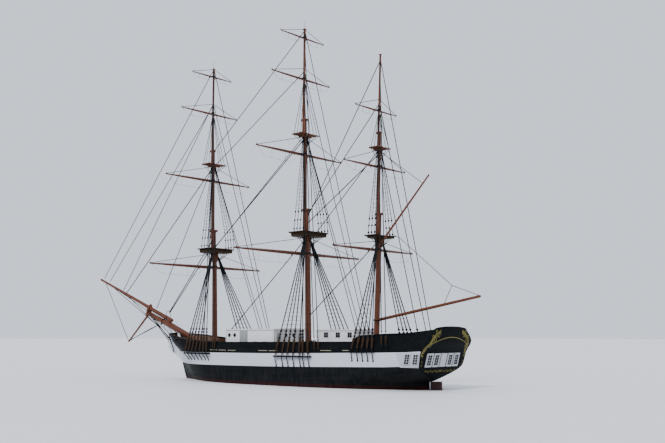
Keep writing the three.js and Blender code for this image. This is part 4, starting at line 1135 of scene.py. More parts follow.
def build_scrolls():
    """Gilded arch, leaf scrolls in the upper corners and a band of scrolls under the windows."""
    form = Form()

    def stem(flat, first, last, sign=1):
        points = [stern_face(sign * y, z, 0.012) for y, z in flat]
        rings = []
        for k, p in enumerate(points):
            ahead = (points[min(k + 1, len(points) - 1)] - points[max(k - 1, 0)]).normalized()
            cross = ahead.cross(Vector((1, 0, 0))).normalized()
            third = ahead.cross(cross)
            radius = first + (last - first) * k / (len(points) - 1)
            rings.append([p + cross * (radius * math.cos(a)) + third * (radius * 0.7 * math.sin(a))
                          for a in (math.pi * i / 4 for i in range(8))])
        form.rings(rings)

    def leaf(y, z, heading, size, sign):
        rings = []
        ahead, across = math.sin(heading), math.cos(heading)
        for s, w in ((0, 0.15), (0.35, 0.34), (0.7, 0.22), (1, 0.02)):
            a, b = y + size * s * math.cos(heading + 0.5 * s), z + size * s * math.sin(heading + 0.5 * s)
            low, high = (stern_face(sign * (a - q * ahead * size), b + q * across * size, 0.004) for q in (-w, w))
            rings.append([low, stern_face(sign * a, b, 0.024), high])
        form.rings(rings)

    stem([(y, 2.354 - 0.158 * y ** 2) for y in (1.46 - 0.1 * k for k in range(30))], 0.019, 0.019)
    vine = smoothed([(1.70, 1.50, 0), (1.66, 1.72, 0), (1.60, 1.92, 0), (1.50, 2.08, 0), (1.40, 2.24, 0),
                     (1.24, 2.40, 0), (1.06, 2.52, 0), (0.88, 2.60, 0)], 4)
    # centre, radius, first angle and turns of each curl; its thickness at the mouth and at the end
    curls = [(*curl, 0.018, 0.009) for curl in (
        ((0.98, 2.44), 0.12, 1.4, -1.0), ((1.24, 2.24), 0.12, 0.6, 1.1), ((1.40, 2.38), 0.09, -2.0, -1.0),
        ((1.44, 1.98), 0.11, 0.3, 1.1), ((1.58, 1.76), 0.08, 2.6, -1.0), ((1.14, 2.62), 0.07, -1.0, 1.0))]
    curls += [(spot, 0.055, start, 0.9, 0.011, 0.007)
              for spot, start in (((1.66, 1.48), 0.5), ((1.60, 1.30), 3.6), ((1.58, 1.12), 0.5))]
    curls += [((0.12 + 0.165 * k, 0.86), 0.055, math.pi * (k % 2), 0.9, 0.016, 0.008) for k in range(7)]
    for sign in (1, -1):
        stem([(p.x, p.y) for p in vine], 0.01, 0.017, sign)
        for centre, radius, start, turns, first, last in curls:
            stem(spiral(centre, radius, start, turns), first, last, sign)
        for k in range(1, len(vine) - 1, 2):
            ahead = vine[k + 1] - vine[k - 1]
            for turn in (0.9, -0.9):
                leaf(vine[k].x, vine[k].y, math.atan2(ahead.y, ahead.x) + turn, 0.13, sign)
        leaf(0.02, 0.82, 1.4, 0.12, sign)
    build("stern_scrolls", form, ["gilt"], sharp=60)


# Head rails

def build_head():
    """Head rails, bow rails and a pale block at the sternpost, painted light for the bright gap before the rudder."""
    knee = ((18.40, 0.06, 2.44), (18.24, 0.10, 2.10), (18.02, 0.16, 1.86), (17.86, 0.2, 1.66), (17.90, 0.16, 1.50),
            (18.00, 0.08, 1.46))
    bow = [on_side(x, z, 0.03) for x, z in ((16.05, 2.10), (15.95, 2.22), (15.7, 2.27), (15.3, 2.25), (14.72, 2.215))]
    for name, line, steps, radius, paint in (("head_rails", knee, 5, 0.03, "black"),
                                             ("bow_rails", bow, 4, 0.028, "timber")):
        both = [smoothed([flipped(p, sign) for p in line], steps) for sign in (1, -1)]
        ropes(name, both, radius, sides=8, finish=paint)
    # Painted light: a white block where the gap between sternpost and rudder shows bright
    build("sternpost_strip", Form().block((-0.04, 0, 0.21), (0.045, 0.13, 0.34)), ["white"], bevel=0.006)


def smoothed(points, steps):
    """A polyline rounded by Catmull-Rom pieces."""
    p = [Vector(q) for q in points]
    line = []
    for k in range(len(p) - 1):
        a, b, c, d = p[max(0, k - 1)], p[k], p[k + 1], p[min(len(p) - 1, k + 2)]
        for i in range(steps):
            s = i / steps
            line.append(0.5 * (2 * b + (c - a) * s + (2 * a - 5 * b + 4 * c - d) * s ** 2
                               + (3 * b - a - 3 * c + d) * s ** 3))
    return line + [p[-1]]


# Masts and tops

def top_outline(mast, inset=0.0):
    """Outline of a top, from its port aft corner round the front."""
    x = spar_at((MASTS[mast]["foot"], MASTS[mast]["cap"]), MASTS[mast]["top"])
    port = [(x + a - math.copysign(inset, a), b - inset) for a, b in TOPS[mast]]
    return port + [(a, -b) for a, b in reversed(port)]


def reach_at(outline, y):
    """Least and greatest x of an outline at a half-breadth."""
    hits = [a[0] + (b[0] - a[0]) * (y - a[1]) / (b[1] - a[1]) for a, b in zip(outline, outline[1:] + outline[:1])
            if min(a[1], b[1]) < y < max(a[1], b[1])]
    return min(hits), max(hits)


def build_mast(mast):
    """The three spars of a mast with caps, cheeks, top and crosstrees."""
    m = MASTS[mast]
    size, top, cap = m["size"], m["top"], m["cap"][1]
    form = Form()

    def spar(ends, low, high, profile, sides):
        form.turned(on_axis(ends, low), on_axis(ends, high), profile, sides)

    ends, (low_r, cap_r) = mast_ends(mast, "lower")
    base = deck_top(m["foot"][0], m["deck"]) + 0.001
    radii = [(0, low_r * 1.12), (0.06, low_r * 1.12), (0.09, low_r)]
    radii += [((top - base) * s, low_r + (mast_radius(mast, "lower", top) - low_r) * s) for s in (0.35, 0.7, 1.0)]
    spar(ends, base, top, radii, 28)
    head_r = min(0.083, cap_r * 0.9)
    spar(ends, top - 0.02, cap + 0.03, [(0, head_r), (cap + 0.05 - top, head_r)], 20)
    form.block(((spar_at(ends, cap) + spar_at(m["topmast"], cap)) / 2, 0, cap - 0.02), (0.48 * size, 0.25 * size, 0.11))
    x = spar_at(ends, top - 0.3)
    cheek = [(x - 0.1, top - 0.75 * size), (x + 0.06, top - 0.78 * size), (x + 0.16, top - 0.4 * size),
             (x + 0.3 * size, top - 0.05), (x - 0.16, top - 0.05)]
    for sign in (-1, 1):
        y = sign * mast_radius(mast, "lower", top) * 1.02
        form.prism(cheek, y - 0.022, y + 0.022, upright=True)
    build(f"{mast}_lower_spar", form, ["mast"], bevel=0.006, replaces=(f"{mast}_lower_mast",))

    form = Form()
    ends, (r0, r1) = mast_ends(mast, "topmast")
    heel, head = ends[0][1], ends[1][1]
    spar(ends, heel, head, [(0, r0 * 0.98), (0.05, r0), ((head - heel) * 0.5, (r0 + r1) / 2), (head - heel, r1)], 24)
    form.block(((ends[1][0] + spar_at(m["gallant"], head)) / 2, 0, head - 0.02), (0.34 * size, 0.18 * size, 0.11))
    form.block(on_axis(ends, heel + 0.12), (0.05, r0 * 3.4, 0.05))
    build(f"{mast}_topmast_spar", form, ["mast"], bevel=0.004, replaces=(f"{mast}_topmast",))
    build_crosstrees(mast)

    form = Form()
    ends, (r0, r1) = mast_ends(mast, "gallant")
    (_, heel), (x, head) = ends
    spar(ends, heel, head, [(0, r0), ((head - heel) * 0.6, r0 * 0.8), (head - heel, r1)], 20)
    if m["truck"][1] - head > 0.01:
        form.rod(mid(x, head - 0.02), mid(*m["truck"]), 0.012, 12, end_radius=0.008)
    form.turned(mid(x, head - 0.03), mid(x, head + 0.02), [(0, r1 * 1.3), (0.025, r1 * 1.7), (0.05, r1 * 0.9)], 16)
    build(f"{mast}_topgallant_spar", form, ["mast"], replaces=(f"{mast}_topgallant_mast",))
    build_top(mast)


def build_crosstrees(mast):
    """Trestletrees with a small slatted platform at a topmast's head."""
    m = MASTS[mast]
    aft, front, half = CROSSTREES[mast]
    z, span = m["cross"], front + aft
    x = spar_at(m["topmast"], z)
    middle = x + (front - aft) / 2
    form = Form().pair((middle, -m["top_radius"] - 0.03, z - 0.075), (span, 0.05, 0.09))
    for dx in (-aft + 0.03, -0.13, front * 0.55, front - 0.03):
        form.block((x + dx, 0, z - 0.02), (0.055, 2 * half, 0.045))
    for sign in (-1, 1):
        form.block((middle, sign * (half - 0.03), z + 0.005), (span, 0.05, 0.03))
        for k in range(4):
            form.block((middle, sign * half * (0.25 + 0.19 * k), z + 0.006), (span * 0.96, half * 0.175, 0.022))
    build(f"{mast}_crosstrees", form, ["yard"], bevel=0.004)


def build_top(mast):
    """The platform round the lower masthead: planks over a deep rim."""
    m = MASTS[mast]
    z, half = m["top"], m["half"]
    form = Form()
    form.prism(top_outline(mast), z - 0.045, z - 0.015)
    form.prism(top_outline(mast, 0.095), z - 0.04 - (0.095 if mast == "mizzen" else 0.19), z - 0.04)
    planks = 13
    for k in range(planks):
        y = (k - (planks - 1) / 2) * 2 * half / planks * 0.97
        low, high = reach_at(top_outline(mast), y)
        form.block(((low + high) / 2, y, z - 0.008), (high - low - 0.03, 2 * half / planks * 0.92, 0.016))
    build(f"{mast}_top_platform", form, ["timber"], bevel=0.004, replaces=(f"{mast}_top",))


def build_masts(look):
    for mast in MASTS:
        build_mast(mast)
    band, sides = Form(), 24
    band.rings([[(r * math.cos(a), r * math.sin(a), z) for a in (2 * math.pi * k / sides for k in range(sides))]
                for r, z in ((0.97, -0.022), (1.05, -0.022), (1.05, 0.022), (0.97, 0.022))], ends=False)
    band.faces += [[3 * sides + k, 3 * sides + (k + 1) % sides, (k + 1) % sides, k] for k in range(sides)]
    band.paints += [0] * sides
    places = []
    for mast, m in MASTS.items():
        heel, head = m["topmast"][0][1], m["topmast"][1][1]
        foot, pole = m["gallant"][0][1], m["gallant"][1][1]
        for which, count, low, high, tall in (
                ("lower", round((m["top"] - 3.2) / look.band_spacing), 3.0, m["top"] - 0.9, 1),
                ("topmast", 3, heel + 1.5, head - 0.5, 0.6), ("gallant", 2, foot + 1.5, pole - 0.25, 0.6)):
            ends = mast_ends(mast, which)[0]
            for k in range(count):
                z = low + (high - low) * k / max(1, count - 1)
                r = mast_radius(mast, which, z)
                places.append((on_axis(ends, z), axis_of(ends), OUT, (r, r, tall)))
    set_out("mast_bands", band, places, "mast")


# Yards, gaff and boom

def yard_radius(half, thick, y):
    """Radius of a yard at a distance from its middle."""
    knots = ((0.0, 1.0), (0.14, 1.0), (0.5, 0.82), (1.0, 0.42))
    s = min(1.0, abs(y) / half)
    (a, low), (b, high) = next(pair for pair in zip(knots, knots[1:]) if s <= pair[1][0])
    return YARD_STOUT * thick * (low + (high - low) * (s - a) / (b - a))


def collar(form, mast, which, z):
    """A ring round a mast spar; gives the mast's x and the ring's outer radius."""
    ends = mast_ends(mast, which)[0]
    inner = mast_radius(mast, which, z) * 1.02 + 0.002
    outer, axis, centre, sides = inner + 0.024, axis_of(ends), on_axis(ends, z), 24
    across = Vector(OUT).cross(axis).normalized()
    section = ((inner, -0.042), (outer, -0.042), (outer + 0.004, 0), (outer, 0.042), (inner, 0.042), (inner, -0.042))
    form.rings([[centre + axis * h + across * (r * math.cos(a)) + Vector(OUT) * (r * math.sin(a))
                 for a in (2 * math.pi * k / sides for k in range(sides))] for r, h in section], 1, ends=False)
    return centre.x, outer


def build_yards():
    """Yards with their trusses or parrels, bands and ropes."""
    knots = (1.0, 0.985, 0.8, 0.6, 0.5, 0.35, 0.14, 0.02)
    for name, mast, which, x, z, half, thick in YARDS:
        form = Form()
        stops = [-k * half for k in knots] + [k * half for k in reversed(knots)]
        form.turned((x, -half, z), (x, half, z), [(y + half, yard_radius(half, thick, y)) for y in stops], 20)
        mast_x, outer = collar(form, mast, which, z)
        gap = x - mast_x - outer
        if gap > 0.01:
            form.block(((x + mast_x + outer) / 2, 0, z), (gap + 0.02, thick * 0.9, thick * 0.9), 1)
        for s in (-0.93, -0.62, -0.3, -0.05, 0.05, 0.3, 0.62, 0.93):
            wide = 0.015 if abs(s) > 0.1 else 0.025
            form.ring(Vector((x, s * half, z)), Vector(OUT), yard_radius(half, thick, s * half) + 0.004, wide, 20)
        build(f"{name}_spar", form, ["yard", "iron"], body=name, replaces=(name,), weld=True)
        build_yard_ropes(name, x, z, half, thick)


def build_yard_ropes(name, x, z, half, thick):
    """Jackstay, footropes and stirrups of a yard, and blocks at its arms."""
    def girth(s):
        return yard_radius(half, thick, s * half)

    drop, back, block = min(0.42, 0.13 * half), x - 0.03, Form()
    lines = [[(x + 0.3 * girth(s), s * half, z + girth(s) + 0.012) for s in (k / 8 for k in range(-7, 8))]]
    for sign in (-1, 1):
        line, stirrups = [], []
        for k in range(17):
            s = k / 16
            y, sag = 0.07 + 0.9 * s, 0.12 * math.sin(math.pi * s)
            line.append((back, sign * y * half, z - girth(y) - drop * (min(1, 6 * s, 6 * (1 - s)) + sag)))
        for s in (0.33, 0.66):
            y, sag = 0.07 + 0.9 * s, 0.12 * math.sin(math.pi * s)
            stirrups.append([(back, sign * y * half, z - 0.5 * girth(y)),
                             (back, sign * y * half, z - girth(y) - drop * (1 + sag))])
        lines += [line] + stirrups
        for s, way in ((0.985, 1), (0.16, -1)):
            block.bun((x, sign * s * half, z + way * (girth(s) + 0.03)), 0.032, 10, 0.7)
    ropes(f"{name}_footropes", lines, 0.0052, body=name, sides=5)
    build(f"{name}_blocks", block, ["timber"], body=name, sharp=70)


def build_spanker():
    """Gaff and boom with their jaws and bands."""
    for name, (jaw, end), inner, outer in (("spanker_gaff", GAFF, 0.054, 0.038), ("spanker_boom", BOOM, 0.072, 0.06)):
        form, end = Form(), mid(*end)
        mast_x, ring = collar(form, "mizzen", "lower", jaw[1])
        start = mid(mast_x, jaw[1])
        aim = (end - start).normalized()
        first = start + aim * (ring / abs(aim.x) * 0.75)
        span = (end - first).length
        form.turned(first, end, [(0, inner * 0.9), (0.3, inner), (span * 0.5, (inner + outer) * 0.53),
                                 (span - 0.06, outer), (span, outer * 0.8)], 20)
        for sign in (-1, 1):
            form.rod(start + Vector((-0.02, sign * (ring + 0.012), 0)),
                     first + aim * 0.42 + Vector((0, sign * inner * 0.6, 0)), 0.026, 10, end_radius=0.02)
        for s in (0.12, 0.35, 0.6, 0.85, 0.985):
            form.ring(first + aim * (span * s), aim, inner + (outer - inner) * s + 0.005, 0.018, 16)
        build(f"{name}_spar", form, ["head", "iron"], body=name, replaces=(name,))


# Bowsprit and jibboom

def build_bowsprit():
    """Bowsprit with its cap, jibboom with its saddle, and dolphin striker."""
    a, b = [mid(*p) for p in BOWSPRIT]
    aim, span, tilt = (b - a).normalized(), (b - a).length, -math.atan2(b.z - a.z, b.x - a.x)
    form = Form().turned(a + aim * 0.12, b, [(0, 0.16), (0.3, 0.168), (span * 0.5, 0.152), (span - 0.12, 0.132)], 28)
    form.block((20.455, 0, 3.87), (0.17, 0.29, 0.56), tilt=tilt)
    form.turned(mid(20.355, 4.10), mid(20.285, 4.29), [(0, 0.12), (0.12, 0.11), (0.2, 0.04)], 20)
    for s in (0.42, 0.62, 0.8, 0.93):
        form.ring(a + aim * (span * s), aim, 0.173 - 0.036 * s, 0.02, 24)
    build("bowsprit_spar", form, ["head", "iron"], replaces=("bowsprit",), bevel=0.006)
    a, b = [mid(*p) for p in JIBBOOM]
    aim, span = (b - a).normalized(), (b - a).length
    form = Form().turned(a, b, [(0, 0.1), (0.1, 0.106), (2.3, 0.1), (2.5, 0.096), (span * 0.65, 0.084),
                                (span - 0.12, 0.062), (span, 0.05)], 24)
    form.block((18.512, 0, 3.19), (0.26, 0.11, 0.16), tilt=tilt)
    for s in (0.02, 0.34, 0.55, 0.985):
        form.ring(a + aim * (span * s), aim, 0.113 - 0.04 * s, 0.02, 20)
    form.block(a + aim * (span * 0.545), (0.16, 0.15, 0.15), tilt=-math.atan2(aim.z, aim.x))
    build("jibboom_spar", form, ["head", "iron"], replaces=("jibboom",), bevel=0.004)
    form = Form().rod(mid(20.57, 3.60), mid(22.38, 2.043), 0.068, 16, end_radius=0.048)
    form.turned(mid(22.30, 2.112), mid(22.40, 2.026), [(0, 0.054), (0.05, 0.056), (0.13, 0.034)], 16)
    build("striker_spar", form, ["head", "iron"], replaces=("dolphin_striker",))
    finish("timber", "bobstays")


# Channels and shrouds

def build_channels(look):
    """Channel boards, brown bars, chain plates, deadeyes and lanyards."""
    eyes, lanyards, plates, bolts = [], [], [], []
    bars = Form()

    def add_bar(low, neck, wide):
        outline = ((0, 0.6), (0.06, 0.75), (0.45, 0.72), (0.68, 1.15), (0.85, 1.25), (0.96, 0.9), (1, 0.5))
        bars.rings([[low.lerp(neck, s) + Vector((wide * w * a, 0.022 * b, 0))
                     for a, b in ((1, -1), (1, 1), (-1, 1), (-1, -1))] for s, w in outline])

    for mast, (z, _, eye, lower, back) in CHANNELS.items():
        board, xs = Form(), lower + back
        for _, sign in SIDES:
            rings = []
            for x in (xs[0] + 0.1, *xs, xs[-1] - 0.1):
                inner, outer = sign * (on_side(x, z).y - 0.02), sign * channel_edge(mast, x)
                rings.append([(x, inner, z - 0.04), (x, outer, z - 0.036), (x, outer, z + 0.03), (x, inner, z + 0.034)])
            board.rings(rings)
            for x in xs:
                line = shroud_line(mast, x)
                add_bar(on_line(line, z + 0.115, sign), on_line(line, eye - 0.06, sign), 0.056)
                tips = [on_line(line, eye + EYE_RISE * k, sign) for k in range(3)]
                low = flipped(on_side(x, z - CHAIN_DROP[mast], 0.012), sign)
                plates += [[on_line(line, z, sign), tips[0]],
                           [Vector((x, sign * (channel_edge(mast, x) - 0.012), z - 0.02)), low]]
                bolts.append((low, (0, sign, 0), (1, 0, 0)))
                eyes += [(p, (0, sign, 0.33), (1, 0, 0), 1.15) for p in tips]
                lanyards += [[tips[k] + Vector((dx, 0, 0)) for k in (0, 2)] for dx in (-0.022, 0.0, 0.022)]
        nodes = tuple(f"{side_name}_{mast}_channel" for side_name, _ in SIDES)
        build(f"{mast}_channel_boards", board, ["black"], replaces=nodes)
    for mast, rows in BACKSTAYS.items():
        for x, z, _ in rows:
            line = backstay_line(mast, x)
            for _, sign in SIDES:
                add_bar(on_line(line, z + 0.1, sign), on_line(line, z + 0.5, sign), 0.035)
                tips = [on_line(line, z + 0.56 + 0.13 * k, sign) for k in range(2)]
                plates.append([flipped(on_side(x, z), sign), flipped(line[0], sign), tips[0]])
                eyes += [(p, (0, sign, 0.2), (1, 0, 0), 0.7) for p in tips]
                lanyards.append(tips)
    build("channel_bars", bars, ["timber"], bevel=0.006, sharp=60)
    ropes("chain_plates", plates, 0.023, finish="iron")
    set_out("chain_plate_bolts", lathe(-0.01, 0.02, ((0, 0.042), (0.02, 0.042), (0.03, 0.02))), bolts, "iron")
    r = look.deadeye
    eye = lathe(-0.026, 0.026, ((0, 0.5 * r), (0.008, 0.9 * r), (0.026, r), (0.044, 0.9 * r), (0.052, 0.5 * r)))
    set_out("shroud_deadeyes", eye, eyes, "iron")
    ropes("shroud_lanyards", lanyards, 0.008, sides=5)


def backstay_line(mast, x):
    """Foot beside the hull and head at the mast of a topgallant or royal backstay."""
    z, high = next(row[1:] for row in BACKSTAYS[mast] if row[0] == x)
    foot = on_side(x, z, 0.03)
    foot.y = max(foot.y, 1.85)
    return foot, Vector((spar_at(MASTS[mast]["gallant"], high), 0.035, high))


def rungs(lines, low, high, gap):
    """Ratlines across a row of shrouds, each tied to every shroud."""
    count = round((high - low) / gap)
    return [[on_line(line, low + (high - low) * k / count) for line in lines] for k in range(count + 1)]


def build_shrouds(look):
    """Lower, topmast and topgallant shrouds with ratlines and futtock shrouds."""
    top_eyes, bits = [], []
    for mast, m in MASTS.items():
        eye, lower, _ = CHANNELS[mast][2:]
        scale = 0.76 if mast == "mizzen" else 1.0
        half, top, cross = m["half"], m["top"], m["cross"]
        first, last, count = TOP_EYES[mast]
        start = eye + 2 * EYE_RISE
        aft, front, reach = CROSSTREES[mast]
        cross_x, hounds_x = spar_at(m["topmast"], cross), spar_at(m["gallant"], HOUNDS[mast])
        for side_name, sign in SIDES:
            lows, highs = [[on_line(shroud_line(mast, x), z, sign) for z in (start, top - 0.1)] for x in lower], []
            for k in range(count):
                x = first + (last - first) * k / (count - 1)

                def beside(inward, z):
                    return Vector((x, sign * (half - inward), z))

                top_eyes += [(beside(0.01 + inward * scale, top + rise * scale), (0, sign, 0), (1, 0, 0), 1.2)
                             for inward, rise in ((0.0, 0.12), (0.05, 0.56), (0.1, 1.0))]
                foot, rim = beside(0.11 * scale, top + scale), beside(0.03, top - 0.05)
                head = Vector((spar_at(m["topmast"], cross - 0.1) + 0.04 - 0.03 * k, sign * 0.12, cross - 0.1))
                highs.append([foot, head])
                near = lows[round(k * (len(lows) - 1) / (count - 1))]
                bits += [[rim, beside(0.01, top + 0.1), foot], [rim, on_line(near, top - 0.62 * scale)]]
            for dx in (-aft * 0.7, -0.04, front * 0.6):
                edge = Vector((cross_x + dx, sign * (reach - 0.03), cross - 0.05))
                low_x = spar_at(m["topmast"], cross - 0.5) + dx * 0.3
                bits += [[edge, Vector((hounds_x - 0.02 + dx * 0.1, sign * 0.055, HOUNDS[mast]))],
                         [edge, Vector((low_x, sign * 0.12, cross - 0.5))]]
            steps = rungs(lows, start + 0.12, top - 0.9, look.ratline_gap)
            steps += rungs(highs, top + 1.15 * scale, cross - 0.5, look.ratline_gap)
            ropes(f"{side_name}_{mast}_shrouds", lows, look.shroud)
            ropes(f"{side_name}_{mast}_topmast_shrouds", highs, look.shroud * 0.55)
            ropes(f"{side_name}_{mast}_ratlines", steps, look.ratline, sides=4)
    eye = lathe(-0.022, 0.022, ((0, 0.02), (0.006, 0.036), (0.022, 0.046), (0.038, 0.036), (0.044, 0.02)))
    set_out("top_deadeyes", eye, top_eyes, "iron")
    ropes("futtock_and_gallant_shrouds", bits, look.shroud * 0.5)


def build_stays(look):
    """Main and lighter stays, backstays and head rigging."""
    ropes("light_stays", [[mid(*p) for p in line] for line in LIGHT_STAYS], look.stay * 0.85)
    lines = []
    for mast, (_, _, eye, _, back) in CHANNELS.items():
        feet = [(shroud_line(mast, x), eye + 2 * EYE_RISE) for x in back]
        tall = [(backstay_line(mast, x), z + 0.69) for x, z, _ in BACKSTAYS[mast]]
        for _, sign in SIDES:
            lines += [[on_line(line, z, sign), flipped(line[1], sign)] for line, z in feet + tall]
    ropes("backstays", lines, look.stay * 0.85)
    head = [[mid(*p) for p in line] for line in HEAD_STAYS]
    head += [[flipped(p, sign) for p in line] for sign in (1, -1) for line in HEAD_GUYS]
    ropes("head_rigging", head, look.stay * 0.75)
    hearts = Form()
    for x, z in HEARTS:
        hearts.bun((x, 0, z), 0.055, 12, 0.6)
    build("stay_hearts", hearts, ["iron"], sharp=70)
    collars = [[Vector((x + rx * math.cos(a), ry * math.cos(a), z + rz * math.sin(a)))
                for a in (math.pi * k / 8 for k in range(17))] for x, rx, ry, z, rz in STAY_COLLARS]
    ropes("stay_collars", collars, 0.016, sides=8)
    for node, line in MAIN_STAYS.items():
        if len(line[0]) == 3:
            legs = [[flipped(p, sign) for p in line] for sign in (1, -1)]
        else:
            legs = [[mid(*p) for p in line]]
        finish("rope", node)
        ropes(f"{node}_rope", legs, look.stay, sides=8, replaces=(node,))


def build_lifts(look):
    """Lifts from the yardarms, peak halyards and topping lift."""
    def running(name, lines, body, start, end):
        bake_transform(ropes(name, lines, look.running, body=None, sides=5))

    for name, mast, which, x, z, half, _ in YARDS:
        m, ends = MASTS[mast], mast_ends(mast, which)[0]
        pole = ends[1][1]
        high = {"lower": m["top"] - 0.28, "topmast": m["cross"] - 0.12}.get(which, pole - 0.05)
        if name.endswith("topgallant_yard"):
            high = min(high, z + 0.5)
        at, r = spar_at(ends, min(high, pole)), mast_radius(mast, which, min(high, pole)) + 0.01
        lines = [[Vector((x, sign * 0.985 * half, z + 0.03)), Vector((at, sign * r, high))] for sign in (1, -1)]
        running(f"{name}_lifts", lines, name, (x, 0, z + 0.04), (x, 0, high - 0.02))
    running("gaff_halyards", [[mid(2.76, 11.30), mid(0.27, 9.46)]], "spanker_gaff", (0, 0, 9.50), (0, 0, 11.25))
    fork = mid(-1.262, 4.658)
    lift = [[Vector((2.2, -0.66, 7.16)), fork, mid(-2.66, 4.17)], [fork, mid(-0.84, 3.86)]]
    running("boom_topping_lift", lift, "spanker_boom", (0, 0, 4.70), (0, 0, 7.1))


# Deck

def house_window(form, x, y, z, wide, tall, sign):
    quad = [Vector((x + a * wide / 2, y, z + b * tall / 2)) for a, b in CORNERS]
    window(form, facing(quad, sign), 2, 2, 0.016, 0.006, 0.02)


def build_houses():
    """Windows, doors, portholes, corner boards and roof edges of both deckhouses."""
    finish("house", *HOUSES)
    form, roofs, ports = Form(), Form(), []
    trim, grey = 2, 3            # places in the list of finishes below
    for x0, x1, half, top in HOUSES.values():
        middle, base = (x0 + x1) / 2, deck_top((x0 + x1) / 2) + 0.03
        form.pair((middle, half, top - 0.07), (x1 - x0, 0.03, 0.03), trim)
        form.pair((middle, half, base + 0.06), (x1 - x0 + 0.02, 0.03, 0.12), trim)
        for x in (x0 + 0.02, x1 - 0.02):
            form.pair((x, half, (base + top) / 2 - 0.02), (0.07, 0.03, top - base - 0.06), trim)
        for x in (x0, x1):
            form.pair((x, half * 0.45, (deck_top(x) + top) / 2 - 0.03), (0.03, 0.05, top - deck_top(x) - 0.12), trim)
        for k in range(5):
            roofs.block((x0 + (x1 - x0) * (k + 0.5) / 5, 0, top + 0.002), (0.03, 2 * half + 0.06, 0.012))
        roofs.block((middle, 0, top + 0.004), (x1 - x0 + 0.05, 2 * half + 0.05, 0.008), 1)
    aft, fore = HOUSES["aft_deckhouse"], HOUSES["forward_deckhouse"]
    for sign in (1, -1):
        for x in (4.106, 4.852, 5.61):
            house_window(form, x, sign * aft[2], 2.455, 0.30, 0.27, sign)
        for x in (9.4, 10.1):
            house_window(form, x, sign * fore[2], 2.0, 0.26, 0.26, sign)
        ports += [(Vector((x, sign * (fore[2] + 0.004), 2.442)), (0, sign, 0), UP) for x in (12.08, 11.67)]
    # Side doors: real doors whose grey panels are painted shade of their recesses
    door_x, door_z = SIDE_DOOR
    form.pair((door_x, fore[2], door_z), (0.606, 0.012, 1.02), grey)
    form.pair((door_x, fore[2] + 0.006, door_z), (0.44, 0.014, 0.9), grey)
    ports += [(Vector((fore[0] - 0.004, y, 2.44)), (-1, 0, 0), UP) for y in (0.25, -0.325)]
    # Door on the forward house's aft face: its grey panels are painted shade of the recesses
    for z, size, paint, out in ((2.13, (0.02, 0.46, 1.0), trim, 0.004), (2.38, (0.02, 0.3, 0.34), grey, 0.012),
                                (1.92, (0.02, 0.3, 0.4), grey, 0.012)):
        form.pair((fore[0] - out, 0.80, z), size, paint)
    # The same doors on the other house ends, with painted shade in their grey panels
    for x, way in ((aft[1], 1), (aft[0], -1), (fore[1], 1)):
        for z, size, paint, out in ((2.08, (0.02, 0.42, 0.92), trim, 0.004), (2.32, (0.02, 0.28, 0.3), grey, 0.012),
                                    (1.88, (0.02, 0.28, 0.38), grey, 0.012)):
            form.block((x + out * way, 0, z), size, paint)
    build("house_woodwork", form, ["frames", "glass", "trim", "grey"], bevel=0.004, slot="house_paint")
    rim = lathe(-0.01, 0.012, ((0, 0.105), (0.012, 0.105), (0.022, 0.092), (0.022, 0.075)), 20)
    set_out("porthole_rims", rim, ports, "iron")
    set_out("porthole_panes", lathe(-0.005, 0.016, ((0, 0.078), (0.02, 0.078), (0.021, 0.04)), 20), ports, "glass")
    build("roof_canvas", roofs, ["trim", "roof"], bevel=0.002)


